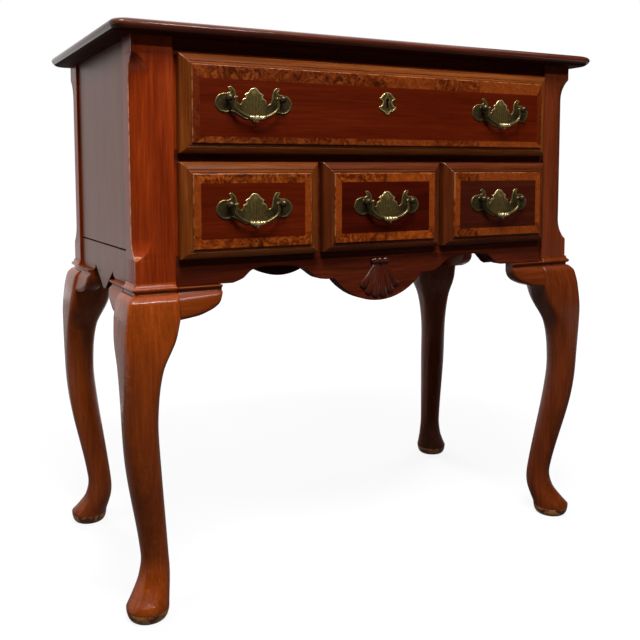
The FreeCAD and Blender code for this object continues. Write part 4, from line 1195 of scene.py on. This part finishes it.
def add_camera():
    camera = bpy.data.cameras.new("camera")
    camera.sensor_width = SENSOR_W
    camera.lens = LENS
    camera.shift_x, camera.shift_y = VIEW_SHIFT
    camera.clip_start = NEAR_CLIP
    holder = add_object("camera", camera)
    spot = Matrix.Translation(Vector(place([EYE])[0]))
    holder.matrix_world = spot @ look_along(YAW, PITCH, ROLL).to_4x4()
    bpy.context.scene.camera = holder


def add_world():
    world = bpy.data.worlds.new("studio")
    world.use_nodes = True
    nodes = Nodes(world.node_tree)
    level = nodes.remap(nodes.seen_ray(), UNIT, (AMBIENT, 1.0))
    nodes.feed(world.node_tree.nodes["Background"], {"Strength": level, "Color": grey(1.0)})
    bpy.context.scene.world = world


def add_card(name, low, high, finish):
    """Flat card between two opposite corners."""
    u, v = [axis for axis in range(3) if low[axis] != high[axis]]
    beside, above = list(low), list(low)
    beside[u] = high[u]
    above[v] = high[v]
    mesh = bpy.data.meshes.new(name)
    mesh.from_pydata([low, beside, high, above], [], [(0, 1, 2, 3)])
    mesh.materials.append(finish)
    card = add_object(name, mesh)
    return card


def floor_material():
    paint = Paint("floor")
    colour = paint.ramp(paint.noise(paint.spot, 3.0, 3), (0.3, grey(0.09)), (0.7, grey(0.1)))
    away = paint.add("VectorMath", {0: paint.spot}, operation="LENGTH").outputs["Value"]
    glow = paint.calc("MULTIPLY", paint.remap(away, FLOOR_NEAR_FAR, FLOOR_GLOW), paint.seen_ray())
    return paint.finish(colour, 0.9, {"Specular IOR Level": 0.1, "Emission Color": grey(1.0),
                                      "Emission Strength": glow})


def flag_material(name, level):
    """Cloth of a studio flag; level is how bright it looks in reflections."""
    paint = Paint(name)
    colour = paint.ramp(paint.noise(paint.spot, 40.0, 2), (0.3, grey(0.01)), (0.7, grey(0.02)))
    return paint.finish(colour, 1.0, {"Emission Color": grey(1.0), "Emission Strength": level})


def add_light(name, spot, aim, size, power, mirrored):
    """Area lamp turned to a height on the object's axis; mirrored lamps show in polished wood."""
    lamp = bpy.data.lights.new(name, "AREA")
    lamp.shape = "RECTANGLE"
    lamp.size, lamp.size_y = size
    lamp.energy = power
    holder = add_object(name, lamp)
    holder.location = spot
    holder.rotation_euler = (Vector((0, 0, aim)) - Vector(spot)).to_track_quat("-Z", "Y").to_euler()
    holder.visible_glossy = mirrored


def add_stage():
    add_world()
    add_card("floor", *FLOOR, floor_material())
    for name, (level, low, high) in FLAGS.items():
        flag = add_card(name, low, high, flag_material(name, level))
        flag.visible_camera = False
        flag.visible_diffuse = False
        flag.visible_shadow = False
    for name, lamp in LAMPS.items():
        add_light(name, *lamp)


# Finishes
def make_finishes():
    tones = {name: [srgb(*colour) for colour in grain] for name, grain in TONES.items()}
    look = {}
    for name, (grain, tone, settings) in WOODS.items():
        look[name] = wood(name, grain, tones[tone], **settings)
    for name, (across, tone) in BURLS.items():
        look[name] = burl(name, across, tones[tone])
    for name, colours in PATCHY_EDGES.items():
        look[name] = patchy_edge(name, *colours)
    for name, (grain, *colours) in BARE.items():
        look[name] = bare_wood(name, grain, *colours)
    look["brass"] = aged_brass("aged_brass")
    look["steel"] = dull_steel("dull_steel")
    look["hole"] = dark_hole("keyhole_dark")
    return look


# Assembly
def add_case(look):
    def add(name, shape, finishes, sharp):
        add_piece(name, shape, "case", [look[finish] for finish in finishes], sharp)

    add("top_board", top_shape(), ["top", "edge", "nose"], 50)
    post = post_shape()
    leg = leg_shape()
    for corner, signs in CORNERS.items():
        # painted shade: the front right post and the right legs take the darker copies of their woods
        ground = "post_right" if corner == "front_right" else "post"
        add("post_" + corner, post.flipped(*signs), [ground, "pale_patch"], 25)
        shank = "leg_right" if "right" in corner else "leg"
        add("leg_" + corner, leg.flipped(*signs), [shank, "scuff", "edge"], 50)
    block = knee_block_shape()
    other = block.flipped(-1, 1)
    # painted shade: the right knee blocks take the darker block wood
    other.paint = [1] * len(other.paint)
    pair = Shape().add(block).add(other)
    add("front_knee_blocks", pair, ["block", "block_right"], 50)
    add("back_knee_blocks", pair.flipped(1, -1), ["block", "block_right"], 50)
    beside = block.moved(corner_swap)
    flanks = Shape()
    for signs in CORNERS.values():
        flanks.add(beside.flipped(*signs))
    add("side_knee_blocks", flanks, ["side_block"], 50)
    apron = plank(cross_apron_outline(), RAIL_T, lambda u, at, v: (u, -FRAME_Y + at, v))
    add("front_apron", apron, ["rail", "edge"], 15)
    add("back_apron", apron.flipped(1, -1), ["rail", "edge"], 15)
    skirt = plank(side_apron_outline(), PANEL_T, lambda u, at, v: (-PANEL_OUT + at, u, v))
    add("side_apron_left", skirt, ["side", "edge"], 15)
    add("side_apron_right", skirt.flipped(-1, 1), ["side", "edge"], 15)
    add("shell_carving", shell_shape(), ["shell"], 50)


def add_drawers(look):
    brass = [look["brass"]]
    for name, kinds in DRAWER_LOOKS.items():
        x0, x1, z0, z1 = OPENINGS[name]
        lip_top, bands = (LIP, LONG_BAND_W) if name == "long_drawer" else (SHORT_LIP_TOP, SHORT_BAND_W)
        front = drawer_front_shape(x0, x1, z0, z1, lip_top, bands)
        front_looks = [look[kind] for kind in (*kinds, "inside_x", "wear_and_highlight")]
        add_piece(name + "_front", front, name, front_looks, 30)
        z = (z0 + z1) / 2 + PULL_RISE
        plates = Shape()
        tails = ("_left", "_right") if len(PULLS[name]) > 1 else ("",)
        for tail, x in zip(tails, PULLS[name]):
            plates.add(pull_plate_shape(x, z))
            bail = name + "_bail" + tail
            add_piece(bail, bail_shape(x, z), bail, brass, 60)
        add_piece(name + "_pull_plates", plates, name, brass, 60)
    add_piece("escutcheon", escutcheon_shape(), "long_drawer", brass + [look["hole"]], 60)


def dress_nodes(nodes, look):
    """Materials of the CAD nodes that stay: panels, rails, and boards and works of the inside."""
    for finish, names in NODE_LOOKS.items():
        for name in names:
            mesh = nodes[name].data
            mesh.materials.clear()
            mesh.materials.append(look[finish])


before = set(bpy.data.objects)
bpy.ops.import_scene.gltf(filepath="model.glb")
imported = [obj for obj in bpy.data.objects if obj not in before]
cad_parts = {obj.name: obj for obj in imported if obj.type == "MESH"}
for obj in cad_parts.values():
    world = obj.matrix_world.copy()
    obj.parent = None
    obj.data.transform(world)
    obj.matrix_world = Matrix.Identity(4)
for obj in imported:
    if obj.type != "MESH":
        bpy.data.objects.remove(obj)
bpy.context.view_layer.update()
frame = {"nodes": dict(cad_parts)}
bpy.context.scene.view_settings.view_transform = "Standard"
add_camera()
add_stage()
finishes = make_finishes()
add_case(finishes)
add_drawers(finishes)
dress_nodes(frame["nodes"], finishes)
bpy.context.view_layer.update()
